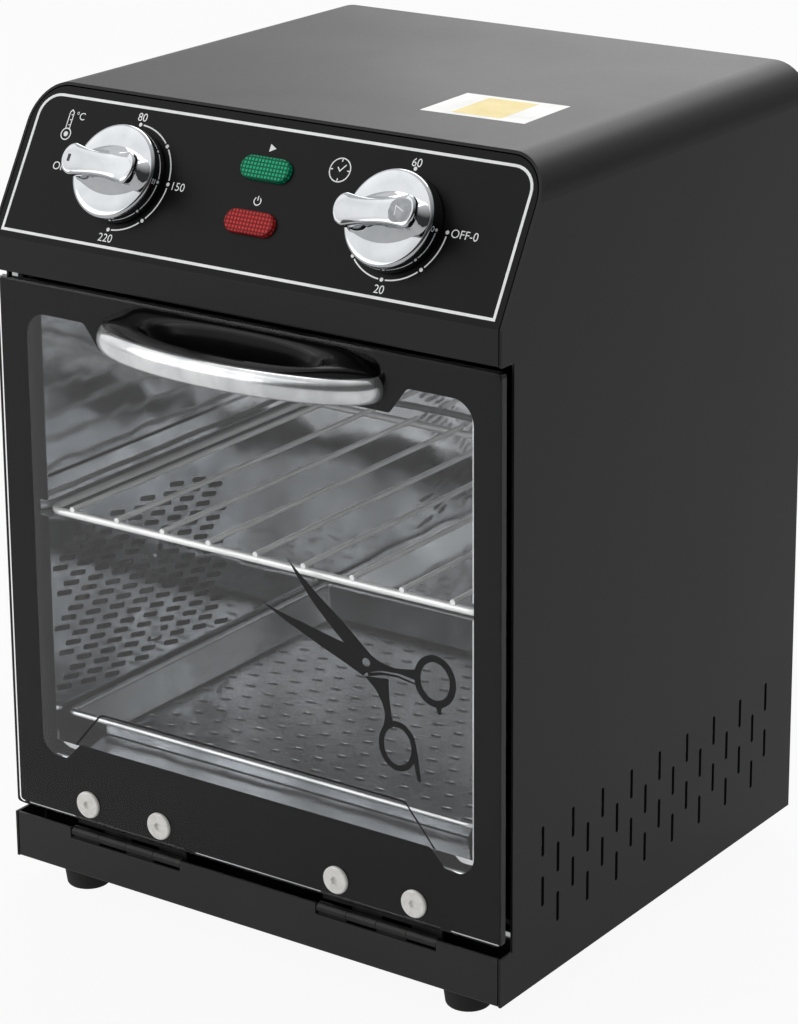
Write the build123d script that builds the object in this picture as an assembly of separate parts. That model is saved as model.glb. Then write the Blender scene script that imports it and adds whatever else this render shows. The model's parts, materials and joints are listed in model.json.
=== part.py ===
from build123d import *
import math
import os

# Dry heat sterilizer: a small bench oven with a drop-down glass door.
# Working frame: X to the right, Y = 0 on the front plane and growing to the back,
# Z = 0 on the underside of the sheet-metal body. keep() moves it to the final frame.
# All sizes are millimetres.

# ---------------------------------------------------------------- driving sizes
BODY_WIDTH = 230.0
BODY_DEPTH = 213.4
BODY_HEIGHT = 309.0
TOP_CORNER_RADIUS = 15.2
COVER_SHEET = 1.0
LINER_SHEET = 0.8
SHIELD_SHEET = 0.6
SEAM_GAP = 0.5
BEND_ROUNDING = 0.9
CUT_PAST = 1.0
UPRIGHT = 90.0

STRIP_HEIGHT = 19.0
LIP_HEIGHT = 13.3
SLOPE_RISE = 54.6
SLOPE_ANGLE = 30.0
DOOR_NOTCH_DEPTH = 7.8
FRAME_SETBACK = 8.8
PAN_FLANGE = 12.0
BACK_FLANGE = 9.0

FOOT_HEIGHT = 11.0
FOOT_TOP_DIAMETER = 20.0
FOOT_BOTTOM_DIAMETER = 17.0
FOOT_INSET_X = 24.0
FOOT_INSET_Y = 15.0
FOOT_BORE_DIAMETER = 8.6
FOOT_BORE_DEPTH = 5.0
FOOT_ROUNDING = 1.6

CHAMBER_SIDE_GAP = 17.0
CHAMBER_DEPTH = 177.2
CEILING_DROP = 9.1
CHAMBER_FLOOR = 51.0
SILL_BEAD_DIAMETER = 3.0
SILL_BEAD_DROP = 7.0
SLOT_LENGTH = 9.5
SLOT_WIDTH = 2.2
SLOT_TILT = -12.0
SLOT_STEP_Y = 4.15
SLOT_STEP_Z = 2.9
SLOT_ROW_STEP_Y = 10.3
SLOT_ROW_STEP_Z = -5.1
SLOT_FIRST_Y = 7.9
SLOT_FIRST_RISE = 28.4
SLOT_FIELD_LOW = 15.5
SLOT_FIELD_HIGH = 83.5
SLOT_FIELD_FRONT = 3.4
SLOT_FIELD_BACK = 104.4
SLOT_SPAN = 40
GROOVE_HEIGHT = 6.5
GROOVE_DEPTH = 4.0
GROOVE_RISE = 92.5
RIB_HEIGHT = 1.8
RIB_DEPTH = 1.5
RIB_RISE = 108.0

HEATER_DIAMETER = 6.5
HEATER_SPAN = 34.0
HEATER_RISE = 26.0
HEATER_FRONT_GAP = 22.0
HEATER_TAIL = 8.0
HEATER_FIT = 0.05
DUCT_WIDTH = 11.7
BUSH_DIAMETER = 9.0
BUSH_FLANGE = 14.0
BUSH_FLANGE_HEIGHT = 4.0
STUD_DIAMETER = 3.25
STUD_LENGTH = 3.2
TAB_LENGTH = 4.8
TAB_WIDTH = 6.3
TAB_THICKNESS = 0.8
SADDLE_LENGTH = 6.0
SADDLE_HEIGHT = 8.0
SADDLE_FRONT_GAP = 62.0
SADDLE_BACK_GAP = 35.5
DEFLECTOR_SETBACK = 2.0
DEFLECTOR_TOP_GAP = 1.6
CUTOUT_FLANGE = 22.0
CUTOUT_FLANGE_HEIGHT = 1.0
CUTOUT_CAP = 15.0
CUTOUT_CAP_HEIGHT = 3.5
CUTOUT_BACK_GAP = 71.0

DOOR_SIDE_GAP = 0.5
DOOR_THICKNESS = 4.0
DOOR_SETBACK = 0.4
DOOR_BOTTOM_GAP = 4.0
DOOR_TOP_GAP = 2.4
DOOR_CORNER_RADIUS = 2.0
DOOR_EDGE_CHAMFER = 0.6

HINGE_SIDE_GAP = 55.5
HINGE_LENGTH = 54.0
HINGE_KNUCKLES = 4
HINGE_BARREL = 4.2
HINGE_PIN = 2.0
HINGE_AXIS_Y = 2.3
HINGE_AXIS_DROP = 2.0
HINGE_LEAF = 1.1
HINGE_LEAF_HEIGHT = 25.0
HINGE_FIT = 0.05
TAB_STEP = 0.2
TAB_RISE = 1.0
KNUCKLE_GAP = 0.3
HINGE_SCREW_PITCH = 35.2
HINGE_SCREW_RISE = 14.1
HINGE_SCREW_HEAD = 10.8
HINGE_SCREW_HEAD_HEIGHT = 1.3
HINGE_SCREW_BEVEL = 0.45
SCREW_SHANK = 4.0
SCREW_HOLE = 4.6
SCREW_FIT = 0.05
HEX_SOCKET = 3.0
HEX_SOCKET_DEPTH = 1.1
NUT_ACROSS = 7.0
NUT_HEIGHT = 1.9

HANDLE_LENGTH = 134.0
HANDLE_REACH = 22.4
HANDLE_BAR_HEIGHT = 10.0
HANDLE_BAR_DEPTH = 7.0
HANDLE_CENTRE_DROP = 14.2
HANDLE_TOP_DROP = 0.9
HANDLE_ROUNDING = 3.2
POCKET_LENGTH = 90.0
POCKET_WIDTH = 11.0
POCKET_FLOOR = 2.5
POCKET_WALL = 1.6
SCOOP_RECESS = 0.5
HOOD_INSET = 1.0
HOOD_LIP = 0.6
HANDLE_SCREW_BITE = 5.0
HANDLE_SCREW_SPACING = 104.0
STRIKE_LENGTH = 118.0
STRIKE_HEIGHT = 10.0
STRIKE_SHEET = 1.0
PAN_HEAD_DIAMETER = 7.0
PAN_HEAD_HEIGHT = 2.2
MAGNET_DIAMETER = 9.0
MAGNET_AIR_GAP = 0.5

KNOB_OFFSET = 61.8
KNOB_RISE = 30.5
KNOB_DIAMETER = 36.5
KNOB_FACE_HEIGHT = 8.0
KNOB_TOP_HEIGHT = 18.0
KNOB_CLEARANCE = 0.6
GRIP_LENGTH = 33.6
GRIP_END_WIDTH = 12.2
GRIP_WAIST_WIDTH = 9.0
GRIP_CORNER = 13.4
GRIP_SADDLE_RADIUS = 70.0
GRIP_SADDLE_DEPTH = 2.0
GRIP_FOOT_LENGTH = 32.2
GRIP_FOOT_WIDTH = 19.0
GRIP_NECK_LENGTH = 30.8
GRIP_NECK_WIDTH = 8.3
GRIP_FLARE = 5.0
KNOB_RIM_ROUNDING = 1.0
TIMER_GRIP_TILT = 6.5
SHAFT_DIAMETER = 6.0
SHAFT_FIT = 0.05
SHAFT_FLAT = 1.2
SHAFT_FLAT_LENGTH = 6.0
PANEL_HOLE = 8.0

LAMP_LENGTH = 22.0
LAMP_HEIGHT = 9.0
LAMP_PROUD = 1.8
LAMP_FIT = 0.15
LAMP_ROUNDING = 0.7
LAMP_HOLDER_RIM = 1.5
LAMP_HOLDER_DEPTH = 12.0
LAMP_TAB_SPACING = 10.0
LAMP_TAB_WIDTH = 4.8
LAMP_TAB_LENGTH = 7.0
RUN_LAMP_RISE = 42.0
POWER_LAMP_RISE = 21.6

THERMOSTAT_SIZE = 32.0
THERMOSTAT_DEPTH = 20.0
CONTROL_CORNER = 3.0
BULB_DIAMETER = 6.0
BULB_LENGTH = 70.0
BULB_DROP = 14.0
BULB_BACK_GAP = 12.0
CAPILLARY = 1.8
CAPILLARY_BEND = 9.0
CAPILLARY_DROP = 4.0
CAPILLARY_HOLE = 3.6
TIMER_SIZE = 44.0
TIMER_DEPTH = 24.0
BELL_DIAMETER = 38.0
BELL_HEIGHT = 9.0
BELL_ROUNDING = 5.4

RACK_WIRE = 3.0
RACK_ROD = 2.2
RACK_RODS = 9
RACK_ROD_PITCH = 22.0
RACK_FRONT_GAP = 1.0
RACK_BACK_GAP = 8.0
RACK_CLEARANCE = 0.3
RACK_CORNER = 6.0
ROD_OVERHANG = 1.2
WELD_SINK = 0.4

TRAY_HEIGHT = 11.7
TRAY_CLEARANCE = 0.3
TRAY_SHEET = 0.8
TRAY_SLANT = 11.0
TRAY_SIDE_GAP = 1.4
TRAY_FRONT_GAP = 3.0
TRAY_RIM = 2.6

VENT_COLUMNS = 17
VENT_PITCH_Y = 10.24
VENT_FIRST_Y = 27.6
VENT_PITCH_Z = 19.8
VENT_LENGTH = 12.0
VENT_WIDTH = 1.9
VENT_LOW = 25.4
VENT_STAGGER = 9.9
REAR_VENT_COLUMNS = 3
REAR_VENT_ROWS = 3
REAR_VENT_LENGTH = 22.0
REAR_VENT_WIDTH = 3.8
REAR_VENT_PITCH_X = 33.0
REAR_VENT_PITCH_Z = 10.0
REAR_VENT_LOW = 93.0
REAR_VENT_TOP_DROP = 62.0

REAR_SCREW_INSET = 5.5
REAR_SCREW_HEAD = 7.4
REAR_SCREW_HEAD_HEIGHT = 2.2
REAR_SCREW_LENGTH = 8.0
REAR_SCREW_PITCH_X = 103.5
REAR_SCREW_PITCH_Z = 117.5
DRIVE_SLOT_LENGTH = 4.4
DRIVE_SLOT_WIDTH = 0.9
DRIVE_SLOT_DEPTH = 1.2
GLAND_X = 78.0
GLAND_Z = 30.0
GLAND_BODY = 12.0
GLAND_FLANGE = 17.0
GLAND_PROUD = 8.0
GLAND_BORE = 7.5
GLAND_FLANGE_HEIGHT = 2.5
GLAND_TAPER = 1.2
GLAND_THREAD = 6.0
GLAND_FIT = 0.1
GLAND_NUT_HEIGHT = 4.0
BLOCK_WIDTH = 36.0
BLOCK_DEPTH = 20.0
BLOCK_HEIGHT = 15.0
BLOCK_BACK_GAP = 35.0
BLOCK_WAYS = 3
BLOCK_BORE = 4.5
BLOCK_BORE_RISE = 6.0
BLOCK_SCREW_WELL = 5.0
BLOCK_SCREW_DEPTH = 4.0
BLOCK_SCREW_INSET = 5.4

# ---------------------------------------------------------------- worked-out places
HALF_WIDTH = BODY_WIDTH / 2
INNER_X = HALF_WIDTH - COVER_SHEET
LIP_TOP = BODY_HEIGHT - SLOPE_RISE
LIP_BOTTOM = LIP_TOP - LIP_HEIGHT
SLOPE_TAN = math.tan(math.radians(SLOPE_ANGLE))
SLOPE_COS = math.cos(math.radians(SLOPE_ANGLE))
SLOPE_SIN = math.sin(math.radians(SLOPE_ANGLE))
OUT_NORMAL = (0, -SLOPE_COS, SLOPE_SIN)
PANEL = Plane(origin=(0, 0, LIP_TOP), x_dir=(1, 0, 0), z_dir=OUT_NORMAL)

FRAME_FRONT = FRAME_SETBACK
FRAME_BACK = FRAME_FRONT + LINER_SHEET
CHAMBER_BACK = FRAME_BACK + CHAMBER_DEPTH
CHAMBER_X = HALF_WIDTH - CHAMBER_SIDE_GAP
CHAMBER_TOP = LIP_BOTTOM - CEILING_DROP
WALL_OUT = CHAMBER_X + LINER_SHEET
GROOVE_BOTTOM = CHAMBER_FLOOR + GROOVE_RISE
GROOVE_TOP = GROOVE_BOTTOM + GROOVE_HEIGHT
RIB_BOTTOM = CHAMBER_FLOOR + RIB_RISE
SHIELD_IN = WALL_OUT + DUCT_WIDTH
SHIELD_OUT = SHIELD_IN + SHIELD_SHEET
HEATER_X = WALL_OUT + DUCT_WIDTH / 2
HEATER_LOW = CHAMBER_FLOOR + HEATER_RISE
HEATER_HIGH = HEATER_LOW + HEATER_SPAN
LINER_BACK = CHAMBER_BACK + LINER_SHEET
CAPILLARY_X = -KNOB_OFFSET
CAPILLARY_Y = CHAMBER_BACK - BULB_BACK_GAP

DOOR_BOTTOM = STRIP_HEIGHT + DOOR_BOTTOM_GAP
HINGE_OFFSET = HALF_WIDTH - HINGE_SIDE_GAP
DOOR_TOP = LIP_BOTTOM - DOOR_TOP_GAP
DOOR_BACK = DOOR_SETBACK + DOOR_THICKNESS
HINGE_AXIS_Z = STRIP_HEIGHT - HINGE_AXIS_DROP
HINGE_SCREW_Z = HINGE_AXIS_Z + HINGE_SCREW_RISE
LEAF_BACK = DOOR_BACK + HINGE_LEAF
KNUCKLE_LENGTH = HINGE_LENGTH / HINGE_KNUCKLES
HANDLE_Z = DOOR_TOP - HANDLE_CENTRE_DROP
STRIKE_BACK = DOOR_BACK + STRIKE_SHEET

FLANGE_FRONT = BODY_DEPTH - 3 * COVER_SHEET
REAR_FRONT = FLANGE_FRONT + COVER_SHEET
REAR_BACK = REAR_FRONT + COVER_SHEET
SCREW_REACH = REAR_BACK + REAR_SCREW_HEAD_HEIGHT
BACK_REACH = REAR_BACK + GLAND_PROUD
Y_CENTRE = (BACK_REACH - HANDLE_REACH) / 2


# ---------------------------------------------------------------- helpers
def box(x0, x1, y0, y1, z0, z1):
    """Block between two corners."""
    return Pos((x0 + x1) / 2, (y0 + y1) / 2, (z0 + z1) / 2) * Box(x1 - x0, y1 - y0, z1 - z0)


def prism_x(points, x0, x1):
    """Outline of (y, z) points drawn out from x0 to x1."""
    outline = Polyline(*[(x0, y, z) for y, z in points], close=True)
    return extrude(make_face(outline), amount=x1 - x0, dir=(1, 0, 0))


def prism_y(points, y0, y1):
    """Outline of (x, z) points drawn out from y0 to y1."""
    outline = Polyline(*[(x, y0, z) for x, z in points], close=True)
    return extrude(make_face(outline), amount=y1 - y0, dir=(0, 1, 0))


def rod_x(x0, x1, y, z, diameter):
    """Round bar along X."""
    return Pos((x0 + x1) / 2, y, z) * Rot(0, 90, 0) * Cylinder(diameter / 2, x1 - x0)


def rod_y(x, y0, y1, z, diameter):
    """Round bar along Y."""
    return Pos(x, (y0 + y1) / 2, z) * Rot(90, 0, 0) * Cylinder(diameter / 2, y1 - y0)


def rod_z(x, y, z0, z1, diameter):
    """Round bar along Z."""
    return Pos(x, y, (z0 + z1) / 2) * Cylinder(diameter / 2, z1 - z0)


def hex_y(x, y0, y1, z, across):
    """Hexagonal bar along Y, measured across its flats."""
    outline = RegularPolygon(across / 2, 6, major_radius=False)
    return Pos(x, y0, z) * Rot(-90, 0, 0) * extrude(outline, amount=y1 - y0)


def hex_z(x, y, z0, z1, across):
    """Hexagonal bar along Z, measured across its flats."""
    outline = RegularPolygon(across / 2, 6, major_radius=False)
    return Pos(x, y, z0) * extrude(outline, amount=z1 - z0)


def slot_x(x0, x1, y, z, length, width, tilt):
    """Round-ended slot cutter along X, its long side tilted up from Y by some degrees."""
    outline = Rot(tilt, 0, 0) * Rot(0, 90, 0) * Rot(0, 0, 90) * SlotOverall(length, width)
    return Pos(x0, y, z) * extrude(outline, amount=x1 - x0, dir=(1, 0, 0))


def slot_y(x, y0, y1, z, length, width):
    """Round-ended slot cutter along Y, its long side along X."""
    outline = Rot(90, 0, 0) * SlotOverall(length, width)
    return Pos(x, y0, z) * extrude(outline, amount=y1 - y0, dir=(0, 1, 0))


def arch(inset, y0, y1, z0):
    """Block with the rounded top corners of the body, smaller by inset all round."""
    half = HALF_WIDTH - inset
    block = box(-half, half, y0, y1, z0, BODY_HEIGHT - inset)
    top_edges = block.edges().filter_by(Axis.Y).sort_by(Axis.Z)[-2:]
    return fillet(top_edges, TOP_CORNER_RADIUS - inset)


def on_panel(x, rise, height):
    """Place on the sloped control panel: across, up the slope and out of it."""
    return PANEL.location * Pos(x, rise, height)


def wire_loop(half, front, back, z, corner, diameter):
    """Closed round wire following a rounded rectangle at one height."""
    outline = Pos(0, (front + back) / 2, z) * RectangleRounded(2 * half, back - front, corner)
    path = outline.wire()
    section = Plane(origin=path @ 0, z_dir=path % 0) * Circle(diameter / 2)
    return sweep(section, path=path)


def sides():
    """Left and right."""
    return (-1, 1)


parts = {}


def keep(name, shape):
    """Record a piece, or a group of separate pieces, under its node name."""
    group = shape if isinstance(shape, (list, tuple, ShapeList)) else [shape]
    solids = [solid for item in group for solid in item.solids()]
    parts[name] = [Pos(0, -Y_CENTRE, FOOT_HEIGHT) * solid for solid in solids]


# ---------------------------------------------------------------- body sheets
def vent_cutters():
    """Upright vent slots low on both sides, every second column dropped by half a pitch."""
    cutters = []
    for column in range(VENT_COLUMNS):
        y = VENT_FIRST_Y + column * VENT_PITCH_Y
        lift = VENT_STAGGER if column % 2 == 0 else 0.0
        for row in range(2):
            z = VENT_LOW + lift + row * VENT_PITCH_Z
            for side in sides():
                x = side * HALF_WIDTH
                reach = COVER_SHEET + CUT_PAST
                cutters.append(slot_x(x - reach, x + reach, y, z, VENT_LENGTH, VENT_WIDTH, UPRIGHT))
    return cutters


def outer_cover():
    """One sheet wrapped over the top and both sides, with flanges for the rear panel."""
    shell = arch(0, 0, BODY_DEPTH, 0)
    shell -= arch(COVER_SHEET, -CUT_PAST, FLANGE_FRONT, -CUT_PAST)
    throat = arch(COVER_SHEET + BACK_FLANGE, FLANGE_FRONT - CUT_PAST, REAR_FRONT + CUT_PAST, -CUT_PAST)
    shell -= throat
    shell -= arch(COVER_SHEET, REAR_FRONT, BODY_DEPTH + CUT_PAST, -CUT_PAST)
    reach = 2 * BODY_HEIGHT
    wedge = [(-reach * SLOPE_TAN, LIP_TOP - reach), (0, LIP_TOP), (reach * SLOPE_TAN, LIP_TOP + reach),
             (-reach, LIP_TOP + reach), (-reach, LIP_TOP - reach)]
    front_cut = prism_x(wedge, -BODY_WIDTH, BODY_WIDTH)
    front_cut -= box(-2 * BODY_WIDTH, 2 * BODY_WIDTH, -2 * reach, 2 * reach, -2 * reach, LIP_TOP)
    shell -= front_cut
    shell -= box(-BODY_WIDTH, BODY_WIDTH, -CUT_PAST, DOOR_NOTCH_DEPTH, STRIP_HEIGHT, LIP_BOTTOM)
    return shell - vent_cutters()


def fascia_outline():
    """Bent sheet seen from the side: bottom return, lip, slope and top return."""
    sheet = COVER_SHEET
    top = BODY_HEIGHT - COVER_SHEET - SEAM_GAP
    top_y = (top - LIP_TOP) * SLOPE_TAN
    bend = sheet * math.tan(math.radians(SLOPE_ANGLE / 2))
    inner_y = (top - sheet - LIP_TOP) * SLOPE_TAN + sheet / SLOPE_COS
    return [
        (0, LIP_BOTTOM), (0, LIP_TOP), (top_y, top), (top_y + PAN_FLANGE, top),
        (top_y + PAN_FLANGE, top - sheet), (inner_y, top - sheet), (sheet, LIP_TOP - bend),
        (sheet, LIP_BOTTOM + sheet), (FRAME_BACK, LIP_BOTTOM + sheet), (FRAME_BACK, LIP_BOTTOM),
    ]


def front_fascia():
    """Sloped control panel with its lip, rounded at the top corners like the cover."""
    half = INNER_X - SEAM_GAP
    sheet = prism_x(fascia_outline(), -half, half)
    sheet &= arch(COVER_SHEET + SEAM_GAP, -CUT_PAST, BODY_DEPTH, 0)
    for side in sides():
        sheet -= on_panel(side * KNOB_OFFSET, KNOB_RISE, 0) * Cylinder(PANEL_HOLE / 2, 6 * COVER_SHEET)
    for rise in (RUN_LAMP_RISE, POWER_LAMP_RISE):
        sheet -= on_panel(0, rise, -3 * COVER_SHEET) * extrude(
            SlotOverall(LAMP_LENGTH + 2 * LAMP_FIT, LAMP_HEIGHT + 2 * LAMP_FIT), 6 * COVER_SHEET)
    bends = [edge for edge in sheet.edges().filter_by(Axis.X)
             if abs(edge.center().Y) < 0.01 and edge.length > BODY_WIDTH / 2]
    return fillet(bends, BEND_ROUNDING)


def base_pan():
    """Folded bottom sheet with the front strip, side flanges and rear flange."""
    half = INNER_X
    pan = box(-half, half, 0, FLANGE_FRONT, 0, COVER_SHEET)
    pan += box(-half + BACK_FLANGE, half - BACK_FLANGE, FLANGE_FRONT, REAR_FRONT, 0, COVER_SHEET)
    strip = box(-half + SEAM_GAP, half - SEAM_GAP, 0, COVER_SHEET, 0, STRIP_HEIGHT)
    pan += strip
    for side in sides():
        inner, outer = sorted((side * (half - COVER_SHEET), side * half))
        pan += box(inner, outer, FRAME_BACK, FLANGE_FRONT, 0, PAN_FLANGE)
    pan += box(-half + BACK_FLANGE, half - BACK_FLANGE, FLANGE_FRONT, REAR_FRONT, 0, PAN_FLANGE)
    for side in sides():
        notch = HINGE_LENGTH / 2 + KNUCKLE_GAP
        x = side * HINGE_OFFSET
        low = HINGE_AXIS_Z - HINGE_BARREL / 2 - KNUCKLE_GAP
        pan -= box(x - notch, x + notch, -CUT_PAST, 2 * COVER_SHEET, low, STRIP_HEIGHT + CUT_PAST)
    for x, y in foot_places():
        pan -= rod_z(x, y, -CUT_PAST, 2 * COVER_SHEET, SCREW_HOLE)
    front_edge = [edge for edge in pan.edges().filter_by(Axis.X)
                  if abs(edge.center().Y) < 0.01 and abs(edge.center().Z) < 0.01]
    return fillet(front_edge, BEND_ROUNDING)


def rear_screw_places():
    """Screw places round the rear panel."""
    x_side = INNER_X - REAR_SCREW_INSET
    z_top = BODY_HEIGHT - COVER_SHEET - REAR_SCREW_INSET
    z_low = PAN_FLANGE / 2
    heights = [BODY_HEIGHT / 2 + step * REAR_SCREW_PITCH_Z for step in (-1, 0, 1)]
    places = [(side * x_side, z) for side in sides() for z in heights]
    places += [(side * REAR_SCREW_PITCH_X / 2, z) for side in sides() for z in (z_low, z_top)]
    return places


def rear_panel():
    """Flat back sheet with vents for the control space and the gland hole."""
    sheet = arch(COVER_SHEET + SEAM_GAP / 2, REAR_FRONT, REAR_BACK, 0)
    front = REAR_FRONT - CUT_PAST
    back = REAR_BACK + CUT_PAST
    cutters = []
    for start in (REAR_VENT_LOW, BODY_HEIGHT - REAR_VENT_TOP_DROP):
        for row in range(REAR_VENT_ROWS):
            z = start + row * REAR_VENT_PITCH_Z
            for column in range(REAR_VENT_COLUMNS):
                x = (column - (REAR_VENT_COLUMNS - 1) / 2) * REAR_VENT_PITCH_X
                cutters.append(slot_y(x, front, back, z, REAR_VENT_LENGTH, REAR_VENT_WIDTH))
    for x, z in rear_screw_places():
        cutters.append(rod_y(x, front, back, z, SCREW_HOLE))
    cutters.append(rod_y(GLAND_X, front, back, GLAND_Z, GLAND_BODY + 2 * GLAND_FIT))
    return sheet - cutters


def rear_screws():
    """Cross-headed screws of the rear panel, driven into the flanges."""
    screws = []
    for x, z in rear_screw_places():
        head = rod_y(x, REAR_BACK, SCREW_REACH, z, REAR_SCREW_HEAD)
        head = fillet(head.edges().sort_by(Axis.Y)[-1], REAR_SCREW_HEAD_HEIGHT / 2)
        deep = SCREW_REACH - DRIVE_SLOT_DEPTH
        proud = SCREW_REACH + CUT_PAST
        for long_x, long_z in ((DRIVE_SLOT_LENGTH, DRIVE_SLOT_WIDTH), (DRIVE_SLOT_WIDTH, DRIVE_SLOT_LENGTH)):
            head -= box(x - long_x / 2, x + long_x / 2, deep, proud, z - long_z / 2, z + long_z / 2)
        shank = rod_y(x, REAR_BACK - REAR_SCREW_LENGTH, REAR_BACK, z, SCREW_SHANK)
        screws.append(head + shank)
    return screws


def flange_screw_holes(shape):
    """Cut the rear screw holes in a flange that they pass."""
    for x, z in rear_screw_places():
        shape -= rod_y(x, FLANGE_FRONT - CUT_PAST, REAR_FRONT, z, SCREW_SHANK + 2 * SCREW_FIT)
    return shape


# ---------------------------------------------------------------- heating chamber
def front_frame():
    """Flat ring round the chamber mouth, with side returns, sill bead and rack notches."""
    half = INNER_X - SEAM_GAP
    ring = box(-half, half, FRAME_FRONT, FRAME_BACK, COVER_SHEET, LIP_BOTTOM)
    ring -= box(-CHAMBER_X, CHAMBER_X, 0, BODY_DEPTH, CHAMBER_FLOOR, CHAMBER_TOP)
    wide = CHAMBER_X + GROOVE_DEPTH
    ring -= box(-wide, wide, 0, BODY_DEPTH, GROOVE_BOTTOM, GROOVE_TOP)
    for side in sides():
        inner, outer = sorted((side * (half - LINER_SHEET), side * half))
        ring += box(inner, outer, FRAME_FRONT, FRAME_BACK + PAN_FLANGE, 2 * PAN_FLANGE, LIP_BOTTOM)
    bead_z = CHAMBER_FLOOR - SILL_BEAD_DROP
    bead = rod_x(-CHAMBER_X, CHAMBER_X, FRAME_FRONT + LINER_SHEET / 2, bead_z, SILL_BEAD_DIAMETER)
    ring += bead
    return ring


def wall_slot_places():
    """Y and Z of the slots in a side wall, which stand in slanted rows."""
    places = []
    for row in range(-SLOT_SPAN, SLOT_SPAN):
        for step in range(-SLOT_SPAN, SLOT_SPAN):
            y = SLOT_FIRST_Y + row * SLOT_ROW_STEP_Y + step * SLOT_STEP_Y
            rise = SLOT_FIRST_RISE + row * SLOT_ROW_STEP_Z + step * SLOT_STEP_Z
            inside_y = SLOT_FIELD_FRONT <= y - FRAME_BACK <= SLOT_FIELD_BACK
            if inside_y and SLOT_FIELD_LOW <= rise <= SLOT_FIELD_HIGH:
                places.append((y, CHAMBER_FLOOR + rise))
    return places


def side_wall():
    """Right-hand liner wall: perforated below, with the rack groove and a stiffening rib."""
    groove_x = CHAMBER_X + GROOVE_DEPTH
    rib_x = CHAMBER_X + RIB_DEPTH
    inner = [(CHAMBER_X, CHAMBER_FLOOR), (CHAMBER_X, GROOVE_BOTTOM), (groove_x, GROOVE_BOTTOM),
             (groove_x, GROOVE_TOP), (CHAMBER_X, GROOVE_TOP), (CHAMBER_X, RIB_BOTTOM),
             (rib_x, RIB_BOTTOM), (rib_x, RIB_BOTTOM + RIB_HEIGHT), (CHAMBER_X, RIB_BOTTOM + RIB_HEIGHT),
             (CHAMBER_X, CHAMBER_TOP)]
    t = LINER_SHEET
    outer = [(WALL_OUT, CHAMBER_TOP), (WALL_OUT, RIB_BOTTOM + RIB_HEIGHT + t),
             (rib_x + t, RIB_BOTTOM + RIB_HEIGHT + t), (rib_x + t, RIB_BOTTOM - t),
             (WALL_OUT, RIB_BOTTOM - t), (WALL_OUT, GROOVE_TOP + t), (groove_x + t, GROOVE_TOP + t),
             (groove_x + t, GROOVE_BOTTOM - t), (WALL_OUT, GROOVE_BOTTOM - t), (WALL_OUT, CHAMBER_FLOOR)]
    wall = prism_y(inner + outer, FRAME_BACK, CHAMBER_BACK)
    return wall - [slot_x(CHAMBER_X - CUT_PAST, WALL_OUT + CUT_PAST, y, z, SLOT_LENGTH, SLOT_WIDTH, SLOT_TILT)
                   for y, z in wall_slot_places()]


def chamber_back_wall():
    """Back of the liner, wide enough to close the heater ducts."""
    sheet = box(-SHIELD_OUT, SHIELD_OUT, CHAMBER_BACK, LINER_BACK,
                CHAMBER_FLOOR - LINER_SHEET, CHAMBER_TOP + LINER_SHEET)
    for side in sides():
        for z in (HEATER_LOW, HEATER_HIGH):
            sheet -= rod_y(side * HEATER_X, 0, BODY_DEPTH, z, BUSH_DIAMETER + 2 * HEATER_FIT)
    return sheet


def heater(side):
    """Hairpin tubular heater standing behind a perforated side wall."""
    x = side * HEATER_X
    tail = LINER_BACK + HEATER_TAIL
    radius = HEATER_SPAN / 2
    bend_y = FRAME_BACK + HEATER_FRONT_GAP + radius
    middle = (HEATER_LOW + HEATER_HIGH) / 2
    ring = Pos(x, bend_y, middle) * Rot(0, 90, 0) * Torus(radius, HEATER_DIAMETER / 2)
    front_half = box(x - 2 * radius, x + 2 * radius, bend_y - 2 * radius, bend_y,
                     middle - 2 * radius, middle + 2 * radius)
    tube = ring & front_half
    tube += rod_y(x, bend_y, tail, HEATER_LOW, HEATER_DIAMETER)
    tube += rod_y(x, bend_y, tail, HEATER_HIGH, HEATER_DIAMETER)
    return tube


def heater_bushes():
    """Ceramic bushes that hold the heater tails in the back wall."""
    bushes = []
    for side in sides():
        for z in (HEATER_LOW, HEATER_HIGH):
            x = side * HEATER_X
            bush = rod_y(x, CHAMBER_BACK, LINER_BACK, z, BUSH_DIAMETER)
            bush += rod_y(x, LINER_BACK, LINER_BACK + BUSH_FLANGE_HEIGHT, z, BUSH_FLANGE)
            bushes.append(bush - rod_y(x, 0, BODY_DEPTH, z, HEATER_DIAMETER + 2 * HEATER_FIT))
    return bushes


def heater_terminals():
    """Threaded tails with spade tabs on the heater ends."""
    tails = []
    start = LINER_BACK + HEATER_TAIL
    for side in sides():
        for z in (HEATER_LOW, HEATER_HIGH):
            x = side * HEATER_X
            stud = rod_y(x, start, start + STUD_LENGTH, z, STUD_DIAMETER)
            tab = box(x - TAB_THICKNESS / 2, x + TAB_THICKNESS / 2, start + STUD_LENGTH,
                      start + STUD_LENGTH + TAB_LENGTH, z - TAB_WIDTH / 2, z + TAB_WIDTH / 2)
            tails.append(stud + tab)
    return tails


def heater_saddles():
    """Small pressed saddles that carry the heater legs on the side walls."""
    saddles = []
    inner_face = HEATER_X - HEATER_DIAMETER / 2 - HEATER_FIT
    for side in sides():
        x0, x1 = sorted((side * WALL_OUT, side * inner_face))
        for y in (FRAME_BACK + SADDLE_FRONT_GAP, CHAMBER_BACK - SADDLE_BACK_GAP):
            for z in (HEATER_LOW, HEATER_HIGH):
                saddles.append(box(x0, x1, y - SADDLE_LENGTH / 2, y + SADDLE_LENGTH / 2,
                                   z - SADDLE_HEIGHT / 2, z + SADDLE_HEIGHT / 2))
    return saddles


def heat_shield(side):
    """Bright sheet between a heater and the outer cover."""
    x0, x1 = sorted((side * SHIELD_IN, side * SHIELD_OUT))
    return box(x0, x1, FRAME_BACK, CHAMBER_BACK, CHAMBER_FLOOR - LINER_SHEET, CHAMBER_TOP + LINER_SHEET)


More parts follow.
